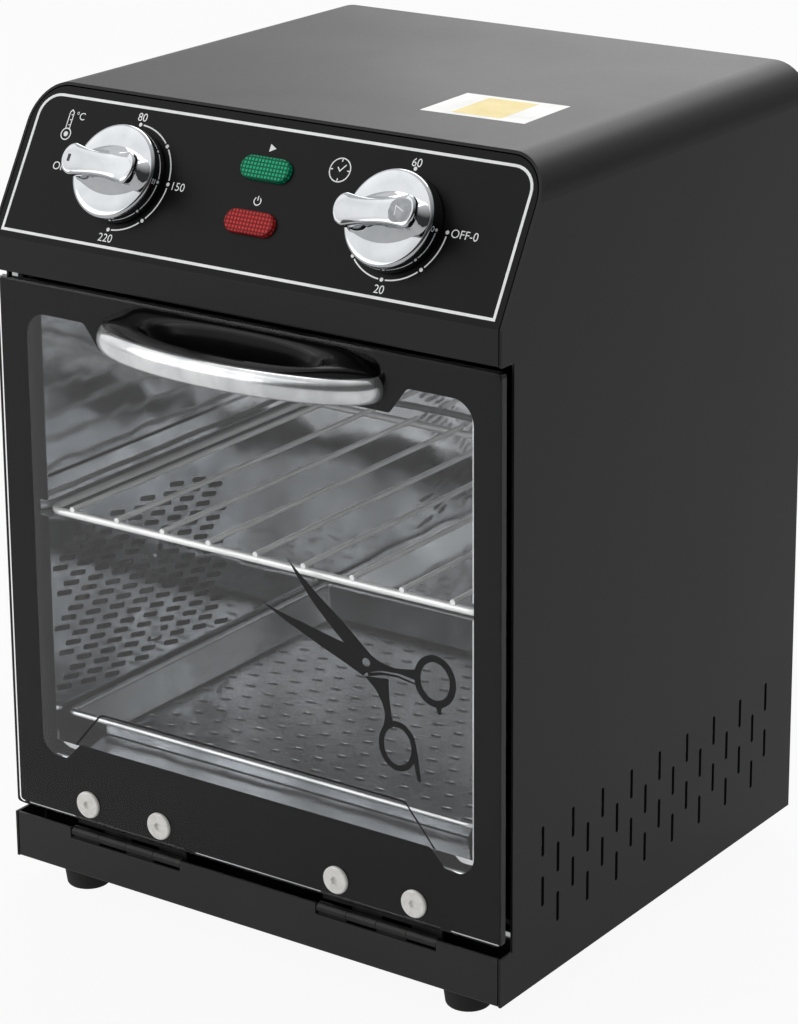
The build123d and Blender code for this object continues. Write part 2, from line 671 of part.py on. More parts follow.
def chamber_floor():
    """Liner floor, which also closes the heater ducts below."""
    return box(-SHIELD_IN, SHIELD_IN, FRAME_BACK, CHAMBER_BACK, CHAMBER_FLOOR - LINER_SHEET, CHAMBER_FLOOR)


def chamber_ceiling():
    """Liner ceiling with the hole for the thermostat bulb tube."""
    sheet = box(-SHIELD_IN, SHIELD_IN, FRAME_BACK, CHAMBER_BACK, CHAMBER_TOP, CHAMBER_TOP + LINER_SHEET)
    return sheet - rod_z(CAPILLARY_X, CAPILLARY_Y, CHAMBER_FLOOR, BODY_HEIGHT, CAPILLARY_HOLE)


def heat_deflector():
    """Channel-shaped sheet over the ceiling that keeps heat off the controls."""
    legs_in = CHAMBER_X - LINER_SHEET
    low = CHAMBER_TOP + LINER_SHEET
    high = LIP_BOTTOM - DEFLECTOR_TOP_GAP
    front = FRAME_BACK + DEFLECTOR_SETBACK
    channel = box(-CHAMBER_X, CHAMBER_X, front, CHAMBER_BACK, low, high + LINER_SHEET)
    channel -= box(-legs_in, legs_in, 0, BODY_DEPTH, low - CUT_PAST, high)
    return channel - rod_z(CAPILLARY_X, CAPILLARY_Y, low, BODY_HEIGHT, CAPILLARY_HOLE)


# ---------------------------------------------------------------- rack and tray
def wire_rack():
    """Wire shelf: a bent frame wire in the wall grooves with cross rods welded on it."""
    z = GROOVE_BOTTOM + RACK_CLEARANCE + RACK_WIRE / 2
    half = CHAMBER_X + GROOVE_DEPTH - RACK_CLEARANCE - RACK_WIRE / 2
    front = FRAME_BACK + RACK_FRONT_GAP + RACK_WIRE / 2
    back = CHAMBER_BACK - RACK_BACK_GAP - RACK_WIRE / 2
    rack = wire_loop(half, front, back, z, RACK_CORNER, RACK_WIRE)
    rod_z_level = z + RACK_WIRE / 2 + RACK_ROD / 2 - WELD_SINK
    for index in range(RACK_RODS):
        x = (index - (RACK_RODS - 1) / 2) * RACK_ROD_PITCH
        rack += rod_y(x, front - ROD_OVERHANG, back + ROD_OVERHANG, rod_z_level, RACK_ROD)
    return rack


def tray():
    """Shallow pressed tray with slanted walls and a rolled rim."""
    half = CHAMBER_X - TRAY_SIDE_GAP
    front = FRAME_BACK + TRAY_FRONT_GAP
    back = CHAMBER_BACK - TRAY_SIDE_GAP
    depth = back - front
    middle = (front + back) / 2
    low = CHAMBER_FLOOR + TRAY_CLEARANCE

    def level(inset, z):
        return Pos(0, middle, z) * Rectangle(2 * (half - inset), depth - 2 * inset)

    def frustum(shrink, z0, z1):
        return loft([level(TRAY_SLANT + shrink, z0), level(TRAY_RIM / 2 + shrink, z1)], ruled=True)

    rim_z = low + TRAY_HEIGHT - TRAY_RIM / 2
    pan = frustum(0, low, rim_z)
    pan -= frustum(TRAY_SHEET, low + TRAY_SHEET, rim_z)
    rim_half = TRAY_RIM / 2
    return pan + wire_loop(half - rim_half, front + rim_half, back - rim_half, rim_z, TRAY_RIM, TRAY_RIM)


# ---------------------------------------------------------------- door
def hinge_screw_places():
    """X of the four screws through the glass into the door leaves."""
    return [side * HINGE_OFFSET + end * HINGE_SCREW_PITCH / 2 for side in sides() for end in (-1, 1)]


def handle_screw_places():
    """X of the two handle screws."""
    return [side * HANDLE_SCREW_SPACING / 2 for side in sides()]


def door_glass():
    """Toughened glass plate with chamfered edges and drilled holes."""
    half = HALF_WIDTH - DOOR_SIDE_GAP
    plate = box(-half, half, DOOR_SETBACK, DOOR_BACK, DOOR_BOTTOM, DOOR_TOP)
    plate = fillet(plate.edges().filter_by(Axis.Y), DOOR_CORNER_RADIUS)
    rims = plate.faces().filter_by(Axis.Y)
    plate = chamfer([edge for face in rims for edge in face.edges()], DOOR_EDGE_CHAMFER)
    for x in hinge_screw_places():
        plate -= rod_y(x, -CUT_PAST, 2 * DOOR_BACK, HINGE_SCREW_Z, SCREW_HOLE)
    for x in handle_screw_places():
        plate -= rod_y(x, -CUT_PAST, 2 * DOOR_BACK, HANDLE_Z, SCREW_HOLE)
    return plate


def half_ellipse(length, reach, z0, z1):
    """Upright half-ellipse block standing on the door face and bulging to the front."""
    outline = Ellipse(length / 2, reach + DOOR_SETBACK)
    block = extrude(Pos(0, DOOR_SETBACK, z0) * outline, amount=z1 - z0)
    return block & box(-length, length, -2 * reach, DOOR_SETBACK, z0, z1)


def handle_bar():
    """Bowed metal bar of half-round section along the front of the handle."""
    low = HANDLE_Z - HANDLE_BAR_HEIGHT / 2
    high = HANDLE_Z + HANDLE_BAR_HEIGHT / 2
    block = half_ellipse(HANDLE_LENGTH, HANDLE_REACH, low, high)
    edges = [edge for edge in block.edges() if edge.geom_type == GeomType.ELLIPSE]
    block = fillet(edges, HANDLE_ROUNDING)
    inner_length = HANDLE_LENGTH - 2 * HANDLE_BAR_DEPTH
    inner_reach = HANDLE_REACH - HANDLE_BAR_DEPTH
    return block - half_ellipse(inner_length, inner_reach, low - CUT_PAST, high + CUT_PAST)


def handle_base():
    """Moulded plastic scoop behind the bar, with a finger pocket open to the top."""
    low = HANDLE_Z - HANDLE_BAR_HEIGHT / 2
    high = HANDLE_Z + HANDLE_BAR_HEIGHT / 2
    top = DOOR_TOP - HANDLE_TOP_DROP
    inner_length = HANDLE_LENGTH - 2 * HANDLE_BAR_DEPTH
    core = half_ellipse(inner_length, HANDLE_REACH - HANDLE_BAR_DEPTH, low + SCOOP_RECESS, high)
    hood = half_ellipse(HANDLE_LENGTH - 2 * HOOD_INSET, HANDLE_REACH - HOOD_INSET, high, top)
    front = -HANDLE_REACH - CUT_PAST
    slope = [(DOOR_SETBACK, low), (front, low), (front, high + HOOD_LIP), (-HOOD_LIP, top),
             (DOOR_SETBACK, top)]
    hood &= prism_x(slope, -HANDLE_LENGTH, HANDLE_LENGTH)
    pocket_y = DOOR_SETBACK - POCKET_WALL - POCKET_WIDTH / 2
    pocket = extrude(Ellipse(POCKET_LENGTH / 2, POCKET_WIDTH / 2), amount=top)
    scoop = core + hood - Pos(0, pocket_y, low + POCKET_FLOOR) * pocket
    bite = HANDLE_SCREW_BITE + 2 * SCREW_FIT
    for x in handle_screw_places():
        scoop -= rod_y(x, DOOR_SETBACK - bite, DOOR_BACK, HANDLE_Z, SCREW_SHANK + 2 * SCREW_FIT)
    return scoop


def handle_screws():
    """Screws from behind the glass into the handle."""
    screws = []
    for x in handle_screw_places():
        face = STRIKE_BACK + PAN_HEAD_HEIGHT
        head = rod_y(x, STRIKE_BACK, face, HANDLE_Z, PAN_HEAD_DIAMETER)
        head -= hex_y(x, face - HEX_SOCKET_DEPTH, face + CUT_PAST, HANDLE_Z, HEX_SOCKET)
        screws.append(head + rod_y(x, DOOR_SETBACK - HANDLE_SCREW_BITE, STRIKE_BACK, HANDLE_Z, SCREW_SHANK))
    return screws


def strike_plate():
    """Steel strip behind the glass: it spreads the screw load and meets the magnet."""
    half = STRIKE_LENGTH / 2
    rise = STRIKE_HEIGHT / 2
    plate = box(-half, half, DOOR_BACK, STRIKE_BACK, HANDLE_Z - rise, HANDLE_Z + rise)
    plate = fillet(plate.edges().filter_by(Axis.Y), STRIKE_HEIGHT / 3)
    for x in handle_screw_places():
        plate -= rod_y(x, 0, 2 * DOOR_BACK, HANDLE_Z, SCREW_HOLE)
    return plate


def door_magnet():
    """Catch magnet on the front frame, facing the strike strip."""
    return rod_y(0, STRIKE_BACK + MAGNET_AIR_GAP, FRAME_FRONT, HANDLE_Z, MAGNET_DIAMETER)


def knuckle_span(side, index):
    """X range of one knuckle, a little short of its neighbours."""
    start = side * HINGE_OFFSET - HINGE_LENGTH / 2 + index * KNUCKLE_LENGTH
    return start + KNUCKLE_GAP / 2, start + KNUCKLE_LENGTH - KNUCKLE_GAP / 2


def hinge_bore(side):
    """Hole of the hinge pin."""
    x = side * HINGE_OFFSET
    return rod_x(x - HINGE_LENGTH, x + HINGE_LENGTH, HINGE_AXIS_Y, HINGE_AXIS_Z, HINGE_PIN + 2 * HINGE_FIT)


def door_leaf(side):
    """Moving hinge leaf behind the glass, with its two knuckles."""
    x = side * HINGE_OFFSET
    half = HINGE_LENGTH / 2 - KNUCKLE_GAP / 2
    radius = HINGE_BARREL / 2
    low = HINGE_AXIS_Z - radius + TAB_STEP
    clear = HINGE_AXIS_Z + radius + 2 * KNUCKLE_GAP
    leaf = box(x - half, x + half, DOOR_BACK, LEAF_BACK, clear, HINGE_AXIS_Z + HINGE_LEAF_HEIGHT)
    for index in range(1, HINGE_KNUCKLES, 2):
        x0, x1 = knuckle_span(side, index)
        leaf += box(x0, x1, DOOR_BACK, LEAF_BACK, low, clear)
        leaf += box(x0, x1, HINGE_AXIS_Y, LEAF_BACK, low, HINGE_AXIS_Z + TAB_RISE)
        leaf += rod_x(x0, x1, HINGE_AXIS_Y, HINGE_AXIS_Z, HINGE_BARREL)
    leaf -= hinge_bore(side)
    for screw_x in hinge_screw_places():
        leaf -= rod_y(screw_x, 0, 2 * LEAF_BACK, HINGE_SCREW_Z, SCREW_SHANK + 2 * SCREW_FIT)
    return leaf


def base_leaf(side):
    """Fixed hinge leaf, welded behind the front strip, with its two knuckles."""
    x = side * HINGE_OFFSET
    half = HINGE_LENGTH / 2 - KNUCKLE_GAP / 2
    radius = HINGE_BARREL / 2
    sweep_reach = math.hypot(LEAF_BACK - HINGE_AXIS_Y, radius)
    top = HINGE_AXIS_Z - sweep_reach - KNUCKLE_GAP
    leaf = box(x - half, x + half, COVER_SHEET, COVER_SHEET + HINGE_LEAF, 2 * COVER_SHEET, top)
    for index in range(0, HINGE_KNUCKLES, 2):
        x0, x1 = knuckle_span(side, index)
        leaf += box(x0, x1, COVER_SHEET, COVER_SHEET + HINGE_LEAF, top, HINGE_AXIS_Z)
        leaf += rod_x(x0, x1, HINGE_AXIS_Y, HINGE_AXIS_Z, HINGE_BARREL)
    return leaf - hinge_bore(side)


def hinge_pins():
    """Plain pins, one in each hinge."""
    pins = []
    for side in sides():
        x = side * HINGE_OFFSET
        pins.append(rod_x(x - HINGE_LENGTH / 2, x + HINGE_LENGTH / 2, HINGE_AXIS_Y, HINGE_AXIS_Z, HINGE_PIN))
    return pins


def hinge_screws():
    """Flat-headed socket screws through the glass."""
    screws = []
    for x in hinge_screw_places():
        face = DOOR_SETBACK - HINGE_SCREW_HEAD_HEIGHT
        head = rod_y(x, face, DOOR_SETBACK, HINGE_SCREW_Z, HINGE_SCREW_HEAD)
        head = chamfer(head.edges().sort_by(Axis.Y)[0], HINGE_SCREW_BEVEL)
        head -= hex_y(x, face - CUT_PAST, face + HEX_SOCKET_DEPTH, HINGE_SCREW_Z, HEX_SOCKET)
        screws.append(head + rod_y(x, DOOR_SETBACK, LEAF_BACK + NUT_HEIGHT, HINGE_SCREW_Z, SCREW_SHANK))
    return screws


def hinge_nuts():
    """Thin nuts behind the door leaves."""
    return [hex_y(x, LEAF_BACK, LEAF_BACK + NUT_HEIGHT, HINGE_SCREW_Z, NUT_ACROSS)
            - rod_y(x, 0, 2 * LEAF_BACK, HINGE_SCREW_Z, SCREW_SHANK) for x in hinge_screw_places()]


# ---------------------------------------------------------------- controls
def grip_outline():
    """Bow-tie outline of the knob grip."""
    half = GRIP_LENGTH / 2
    end = GRIP_END_WIDTH / 2
    waist = GRIP_WAIST_WIDTH / 2
    upper = ThreePointArc((-GRIP_CORNER, end), (0, waist), (GRIP_CORNER, end))
    right = ThreePointArc((GRIP_CORNER, end), (half, 0), (GRIP_CORNER, -end))
    lower = ThreePointArc((GRIP_CORNER, -end), (0, -waist), (-GRIP_CORNER, -end))
    left = ThreePointArc((-GRIP_CORNER, -end), (-half, 0), (-GRIP_CORNER, end))
    return make_face([upper, right, lower, left])


def knob(tilt):
    """Plated knob: a disc with a waisted grip whose top is hollowed along its length."""
    disc_height = KNOB_FACE_HEIGHT - KNOB_CLEARANCE
    disc = Pos(0, 0, KNOB_CLEARANCE + disc_height / 2) * Cylinder(KNOB_DIAMETER / 2, disc_height)
    disc = fillet(disc.edges().sort_by(Axis.Z)[-1], KNOB_RIM_ROUNDING)
    root = KNOB_FACE_HEIGHT - KNOB_RIM_ROUNDING
    grip = Pos(0, 0, root) * extrude(grip_outline(), amount=KNOB_TOP_HEIGHT - root)
    foot_section = Pos(0, 0, root) * Ellipse(GRIP_FOOT_LENGTH / 2, GRIP_FOOT_WIDTH / 2)
    neck_section = Ellipse(GRIP_NECK_LENGTH / 2, GRIP_NECK_WIDTH / 2)
    foot = loft([foot_section, Pos(0, 0, KNOB_FACE_HEIGHT + GRIP_FLARE) * neck_section])
    saddle_centre = KNOB_TOP_HEIGHT + GRIP_SADDLE_RADIUS - GRIP_SADDLE_DEPTH
    saddle = Pos(0, 0, saddle_centre) * Rot(90, 0, 0) * Cylinder(GRIP_SADDLE_RADIUS, 3 * GRIP_END_WIDTH)
    body = disc + foot + (grip - saddle)
    bore = Cylinder(SHAFT_DIAMETER / 2 + SHAFT_FIT, 2 * KNOB_FACE_HEIGHT)
    return Rot(0, 0, tilt) * (body - bore)


def shaft(depth):
    """Round shaft with a flat, from inside its control to inside its knob."""
    top = KNOB_FACE_HEIGHT
    length = top + depth
    bar = Pos(0, 0, (top - depth) / 2) * Cylinder(SHAFT_DIAMETER / 2, length)
    flat_y = SHAFT_DIAMETER - SHAFT_FLAT
    flat = Pos(0, flat_y, top) * Box(2 * SHAFT_DIAMETER, SHAFT_DIAMETER, 2 * SHAFT_FLAT_LENGTH)
    return bar - flat


def control_body(size, depth):
    """Square control body behind the panel, with a bore for its shaft."""
    body = Pos(0, 0, -COVER_SHEET - depth / 2) * Box(size, size, depth)
    body = fillet(body.edges().filter_by(Axis.Z), CONTROL_CORNER)
    bore = Pos(0, 0, -COVER_SHEET) * Cylinder(SHAFT_DIAMETER / 2 + SHAFT_FIT, depth + 2 * SHAFT_FIT)
    return body - bore


def timer_bell():
    """Dome of the timer bell on the back of the timer."""
    base = -COVER_SHEET - TIMER_DEPTH
    dome = Pos(0, 0, base - BELL_HEIGHT / 2) * Cylinder(BELL_DIAMETER / 2, BELL_HEIGHT)
    return fillet(dome.edges().sort_by(Axis.Z)[0], BELL_ROUNDING)


def lamp_lens():
    """Moulded lamp window, standing proud of the panel."""
    lens = extrude(SlotOverall(LAMP_LENGTH, LAMP_HEIGHT), amount=LAMP_PROUD + COVER_SHEET)
    lens = Pos(0, 0, -COVER_SHEET) * lens
    return fillet(lens.edges().group_by(Axis.Z)[-1], LAMP_ROUNDING)


def lamp_body():
    """Lamp holder with two tabs behind the panel."""
    length = LAMP_LENGTH + 2 * LAMP_HOLDER_RIM
    height = LAMP_HEIGHT + 2 * LAMP_HOLDER_RIM
    holder = Pos(0, 0, -COVER_SHEET - LAMP_HOLDER_DEPTH / 2) * Box(length, height, LAMP_HOLDER_DEPTH)
    holder = fillet(holder.edges().filter_by(Axis.Z), LAMP_HOLDER_RIM)
    tab_z = -COVER_SHEET - LAMP_HOLDER_DEPTH - LAMP_TAB_LENGTH / 2
    for side in sides():
        x = side * LAMP_TAB_SPACING / 2
        holder += Pos(x, 0, tab_z) * Box(LAMP_TAB_WIDTH, TAB_THICKNESS, LAMP_TAB_LENGTH)
    return holder


def thermostat_bulb():
    """Sensing bulb lying along the back of the chamber under the ceiling."""
    bulb_z = CHAMBER_TOP - BULB_DROP
    return rod_x(CAPILLARY_X - BULB_DIAMETER, CAPILLARY_X + BULB_LENGTH, CAPILLARY_Y, bulb_z, BULB_DIAMETER)


def thermostat_tube():
    """Fine tube from the bulb up through the ceiling to the thermostat."""
    bulb_top = CHAMBER_TOP - BULB_DROP + BULB_DIAMETER / 2 - CAPILLARY / 2
    exit_point = on_panel(-KNOB_OFFSET, KNOB_RISE, -COVER_SHEET - THERMOSTAT_DEPTH).position
    high_z = exit_point.Z - CAPILLARY_DROP
    exit_y = exit_point.Y - (CAPILLARY_DROP - CAPILLARY / 2) * SLOPE_TAN
    path = FilletPolyline((CAPILLARY_X, exit_y, high_z), (CAPILLARY_X, CAPILLARY_Y, high_z),
                          (CAPILLARY_X, CAPILLARY_Y, bulb_top), radius=CAPILLARY_BEND)
    section = Plane(origin=(CAPILLARY_X, exit_y, high_z), z_dir=(0, 1, 0)) * Circle(CAPILLARY / 2)
    tube = sweep(section, path=path)
    return tube - thermostat_bulb()


# ---------------------------------------------------------------- feet and fittings
def foot_places():
    """Centres of the four feet."""
    x = HALF_WIDTH - FOOT_INSET_X
    return [(sx * x, y) for sx in sides() for y in (FOOT_INSET_Y, BODY_DEPTH - FOOT_INSET_Y)]


def foot(x, y):
    """Tapered rubber foot with a recess for its screw head."""
    body = Pos(x, y, -FOOT_HEIGHT / 2) * Cone(FOOT_BOTTOM_DIAMETER / 2, FOOT_TOP_DIAMETER / 2, FOOT_HEIGHT)
    body = fillet(body.edges().sort_by(Axis.Z)[0], FOOT_ROUNDING)
    body -= rod_z(x, y, -FOOT_HEIGHT - CUT_PAST, -FOOT_HEIGHT + FOOT_BORE_DEPTH, FOOT_BORE_DIAMETER)
    return body - rod_z(x, y, -FOOT_HEIGHT - CUT_PAST, CUT_PAST, SCREW_HOLE)


def foot_screws():
    """Screws up through the feet into the base pan."""
    screws = []
    seat = -FOOT_HEIGHT + FOOT_BORE_DEPTH
    for x, y in foot_places():
        screw = rod_z(x, y, seat - PAN_HEAD_HEIGHT, seat, PAN_HEAD_DIAMETER)
        screws.append(screw + rod_z(x, y, seat, COVER_SHEET + NUT_HEIGHT, SCREW_SHANK))
    return screws


def foot_nuts():
    """Nuts of the foot screws on top of the base pan."""
    return [hex_z(x, y, COVER_SHEET, COVER_SHEET + NUT_HEIGHT, NUT_ACROSS)
            - rod_z(x, y, 0, 2 * NUT_ACROSS, SCREW_SHANK) for x, y in foot_places()]


def cord_gland():
    """Flanged entry bush for the mains lead, low on the rear panel."""
    body = rod_y(GLAND_X, REAR_FRONT - GLAND_THREAD, REAR_BACK, GLAND_Z, GLAND_BODY)
    flange_back = REAR_BACK + GLAND_FLANGE_HEIGHT
    flange = rod_y(GLAND_X, REAR_BACK, flange_back, GLAND_Z, GLAND_FLANGE)
    nose_length = GLAND_PROUD - GLAND_FLANGE_HEIGHT
    cone = Cone(GLAND_BODY / 2, GLAND_BODY / 2 - GLAND_TAPER, nose_length)
    nose = Pos(GLAND_X, flange_back + nose_length / 2, GLAND_Z) * Rot(-90, 0, 0) * cone
    return body + flange + nose - rod_y(GLAND_X, 0, 2 * BODY_DEPTH, GLAND_Z, GLAND_BORE)


def gland_nut():
    """Ring that locks the gland behind the rear panel."""
    ring = hex_y(GLAND_X, REAR_FRONT - GLAND_NUT_HEIGHT, REAR_FRONT, GLAND_Z, GLAND_FLANGE)
    return ring - rod_y(GLAND_X, 0, 2 * BODY_DEPTH, GLAND_Z, GLAND_BODY)


def terminal_block():
    """Three-way ceramic block on the base pan."""
    back = BODY_DEPTH - BLOCK_BACK_GAP
    front = back - BLOCK_DEPTH
    top = COVER_SHEET + BLOCK_HEIGHT
    block = box(GLAND_X - BLOCK_WIDTH / 2, GLAND_X + BLOCK_WIDTH / 2, front, back, COVER_SHEET, top)
    for index in range(BLOCK_WAYS):
        x = GLAND_X + (index - (BLOCK_WAYS - 1) / 2) * BLOCK_WIDTH / BLOCK_WAYS
        block -= rod_y(x, front - CUT_PAST, back + CUT_PAST, COVER_SHEET + BLOCK_BORE_RISE, BLOCK_BORE)
        for y in (front + BLOCK_SCREW_INSET, back - BLOCK_SCREW_INSET):
            block -= rod_z(x, y, top - BLOCK_SCREW_DEPTH, top + CUT_PAST, BLOCK_SCREW_WELL)
    return block


def thermal_cutout():
    """Snap-disc safety cut-out on the chamber ceiling."""
    seat = CHAMBER_TOP + LINER_SHEET
    step = seat + CUTOUT_FLANGE_HEIGHT
    y = CHAMBER_BACK - CUTOUT_BACK_GAP
    return rod_z(0, y, seat, step, CUTOUT_FLANGE) + rod_z(0, y, step, step + CUTOUT_CAP_HEIGHT, CUTOUT_CAP)


# ---------------------------------------------------------------- assembly
keep("outer_cover", flange_screw_holes(outer_cover()))
keep("front_fascia", front_fascia())
keep("base_pan", flange_screw_holes(base_pan()))
keep("rear_panel", rear_panel())
keep("rear_screws", rear_screws())

keep("front_frame", front_frame())
right_wall = side_wall()
keep("chamber_right_wall", right_wall)
keep("chamber_left_wall", mirror(right_wall, about=Plane.YZ))
keep("chamber_back_wall", chamber_back_wall())
keep("chamber_floor", chamber_floor())
keep("chamber_ceiling", chamber_ceiling())
keep("heat_deflector", heat_deflector())
keep("heat_shield_left", heat_shield(-1))
keep("heat_shield_right", heat_shield(1))
keep("heater_left", heater(-1))
keep("heater_right", heater(1))
keep("heater_bushes", heater_bushes())
keep("heater_terminals", heater_terminals())
keep("heater_saddles", heater_saddles())
keep("thermal_cutout", thermal_cutout())

keep("wire_rack", wire_rack())
keep("tray", tray())

keep("door_glass", door_glass())
keep("handle_bar", handle_bar())
keep("handle_base", handle_base())
keep("handle_screws", handle_screws())
keep("strike_plate", strike_plate())
keep("door_magnet", door_magnet())
keep("hinge_left_door_leaf", door_leaf(-1))
keep("hinge_right_door_leaf", door_leaf(1))
keep("hinge_left_base_leaf", base_leaf(-1))
keep("hinge_right_base_leaf", base_leaf(1))
keep("hinge_pins", hinge_pins())
keep("hinge_screws", hinge_screws())
keep("hinge_nuts", hinge_nuts())

keep("temperature_knob", on_panel(-KNOB_OFFSET, KNOB_RISE, 0) * knob(0.0))
keep("timer_knob", on_panel(KNOB_OFFSET, KNOB_RISE, 0) * knob(TIMER_GRIP_TILT))
keep("thermostat_shaft", on_panel(-KNOB_OFFSET, KNOB_RISE, 0) * shaft(THERMOSTAT_DEPTH / 2))
keep("timer_shaft", on_panel(KNOB_OFFSET, KNOB_RISE, 0) * shaft(TIMER_DEPTH / 2))
thermostat_case = control_body(THERMOSTAT_SIZE, THERMOSTAT_DEPTH)
keep("thermostat_body", on_panel(-KNOB_OFFSET, KNOB_RISE, 0) * thermostat_case)
keep("thermostat_bulb", thermostat_bulb())
keep("thermostat_tube", thermostat_tube())
keep("timer_body", on_panel(KNOB_OFFSET, KNOB_RISE, 0) * control_body(TIMER_SIZE, TIMER_DEPTH))
keep("timer_bell", on_panel(KNOB_OFFSET, KNOB_RISE, 0) * timer_bell())
for lamp, rise in (("run", RUN_LAMP_RISE), ("power", POWER_LAMP_RISE)):
    keep(lamp + "_lamp_lens", on_panel(0, rise, 0) * lamp_lens())
    keep(lamp + "_lamp_body", on_panel(0, rise, 0) * lamp_body())

foot_names = ("foot_front_left", "foot_rear_left", "foot_front_right", "foot_rear_right")
for name, (foot_x, foot_y) in zip(foot_names, foot_places()):
    keep(name, foot(foot_x, foot_y))
keep("foot_screws", foot_screws())
keep("foot_nuts", foot_nuts())
keep("cord_gland", cord_gland())
keep("gland_nut", gland_nut())
keep("terminal_block", terminal_block())

os.makedirs("parts", exist_ok=True)
for name, solids in parts.items():
    shape = solids[0] if len(solids) == 1 else Compound(children=solids)
    export_step(shape, f"parts/{name}.step")

print("nodes", len(parts))
print("door axis y, z", round(HINGE_AXIS_Y - Y_CENTRE, 3), round(HINGE_AXIS_Z + FOOT_HEIGHT, 3))
knob_point = on_panel(KNOB_OFFSET, KNOB_RISE, 0).position + Vector(0, -Y_CENTRE, FOOT_HEIGHT)
print("knob axis point", [round(value, 3) for value in knob_point])
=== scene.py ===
import json
import logging
from dataclasses import dataclass, field
from enum import Enum
from math import copysign, cos, degrees, pi, radians, sin, sqrt, tan, tau

import bmesh
import bpy
from bpy.types import Material, Node, NodeSocket, NodeTree, Object
from mathutils import Matrix, Vector
from mathutils.geometry import tessellate_polygon


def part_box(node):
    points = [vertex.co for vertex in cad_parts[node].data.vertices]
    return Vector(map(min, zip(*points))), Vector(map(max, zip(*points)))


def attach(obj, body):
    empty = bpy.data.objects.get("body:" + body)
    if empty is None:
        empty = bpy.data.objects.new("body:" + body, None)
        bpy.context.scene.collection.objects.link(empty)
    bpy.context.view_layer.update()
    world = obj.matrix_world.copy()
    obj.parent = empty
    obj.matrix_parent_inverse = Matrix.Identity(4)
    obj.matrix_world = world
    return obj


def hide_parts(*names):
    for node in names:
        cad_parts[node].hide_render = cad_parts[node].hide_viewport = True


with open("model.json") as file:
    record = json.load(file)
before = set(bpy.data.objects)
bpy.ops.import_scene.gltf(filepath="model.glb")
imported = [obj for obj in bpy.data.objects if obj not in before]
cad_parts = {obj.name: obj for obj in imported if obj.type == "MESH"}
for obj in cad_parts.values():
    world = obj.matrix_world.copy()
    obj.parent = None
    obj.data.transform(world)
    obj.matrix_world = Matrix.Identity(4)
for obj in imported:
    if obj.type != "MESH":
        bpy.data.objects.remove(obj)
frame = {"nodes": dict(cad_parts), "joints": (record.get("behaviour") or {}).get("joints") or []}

log = logging.getLogger("sterilizer")

MM = 0.001
INK_LIFT = 0.03

# Points nearer than the gap, in millimetres, are welded. Edges sharper than the crease, in
# degrees, stay sharp, a corner flatter than the straight one isn't rounded, and a mitre
# reaches out no further than its limit lets it.
WELD_GAP = 0.002
CREASE_ANGLE = 38.0
STRAIGHT_ANGLE = 89.0
MITRE_LIMIT = 0.5
ACROSS, REARWARD, UPWARD = Vector((1, 0, 0)), Vector((0, 1, 0)), Vector((0, 0, 1))

# Where a value starts and ends to turn into a full tone or gloss: the patches' tone and
# gloss, the rubbed edge, the painted sheen of the upright faces, the tray's level faces and the lens's
# prisms.
PATCH_SPAN = (0.4, 0.65)
GLOSS_SPAN = (0.45, 1.05)
RUB_SPAN = (0.995, 0.85)
# The span over which the upright faces take their painted sheen.
UPRIGHT_SHEEN_SPAN = (0.42, 0.12)
LEVEL_SPAN = (0.93, 0.99)
PRISM_SPAN = (0.15, 0.42)


class Body(Enum):
    """The bodies that pieces move with."""

    CABINET = "cabinet"
    DOOR = "door"
    TEMPERATURE = "temperature_control"
    TIMER = "timer_control"


class Slot(Enum):
    """The record's material slots that new pieces take."""

    PANEL_PAINT = "panel_paint"
    BODY_PAINT = "body_paint"
    DOOR_GLASS = "door_glass"
    KNOB_CHROME = "knob_chrome"
    HANDLE_CHROME = "handle_chrome"
    HANDLE_BLACK = "handle_black"


class Grain(Enum):
    """How far a surface's grain is drawn out along X, Y and Z."""

    EVEN = (1.0, 1.0, 1.0)
    ALONG_X = (0.04, 1.0, 1.0)
    ALONG_Y = (1.0, 0.04, 1.0)


class Align(Enum):
    """Where a word stands about the point that places it."""

    LEFT = "LEFT"
    CENTRE = "CENTER"


# ---------------------------------------------------------------- shader helpers
def linear(code: str) -> tuple[float, float, float, float]:
    """Turns an sRGB hex colour to the linear one that shaders take.

    Args:
        code: The colour, such as "#1c1c1d".

    Returns:
        Linear red, green, blue and an alpha of 1.
    """
    parts = (int(code[i : i + 2], 16) / 255 for i in (1, 3, 5))
    red, green, blue = (c / 12.92 if c <= 0.04045 else ((c + 0.055) / 1.055) ** 2.4 for c in parts)
    return red, green, blue, 1.0


WHITE = linear("#ffffff")


def per_metre(size: float) -> float:
    """Returns the pattern scale that gives features of a size in millimetres."""
    return 1.0 / (size * MM)


def add(tree: NodeTree, kind: str, settings: dict | None = None, links: dict | None = None) -> Node:
    """Adds one node with its settings and links.

    Args:
        tree: The node tree that the node goes into.
        kind: Blender's name of the node type.
        settings: Values by input name, input number or attribute name.
        links: What feeds each input, by its name or number: a socket, or a node for its first output.

    Returns:
        The new node.
    """
    node = tree.nodes.new(kind)
    for key, value in (settings or {}).items():
        if isinstance(key, int) or key in node.inputs:
            node.inputs[key].default_value = value
        else:
            setattr(node, key, value)
    for key, source in (links or {}).items():
        socket = source.outputs[0] if isinstance(source, Node) else source
        tree.links.new(socket, node.inputs[key])
    return node


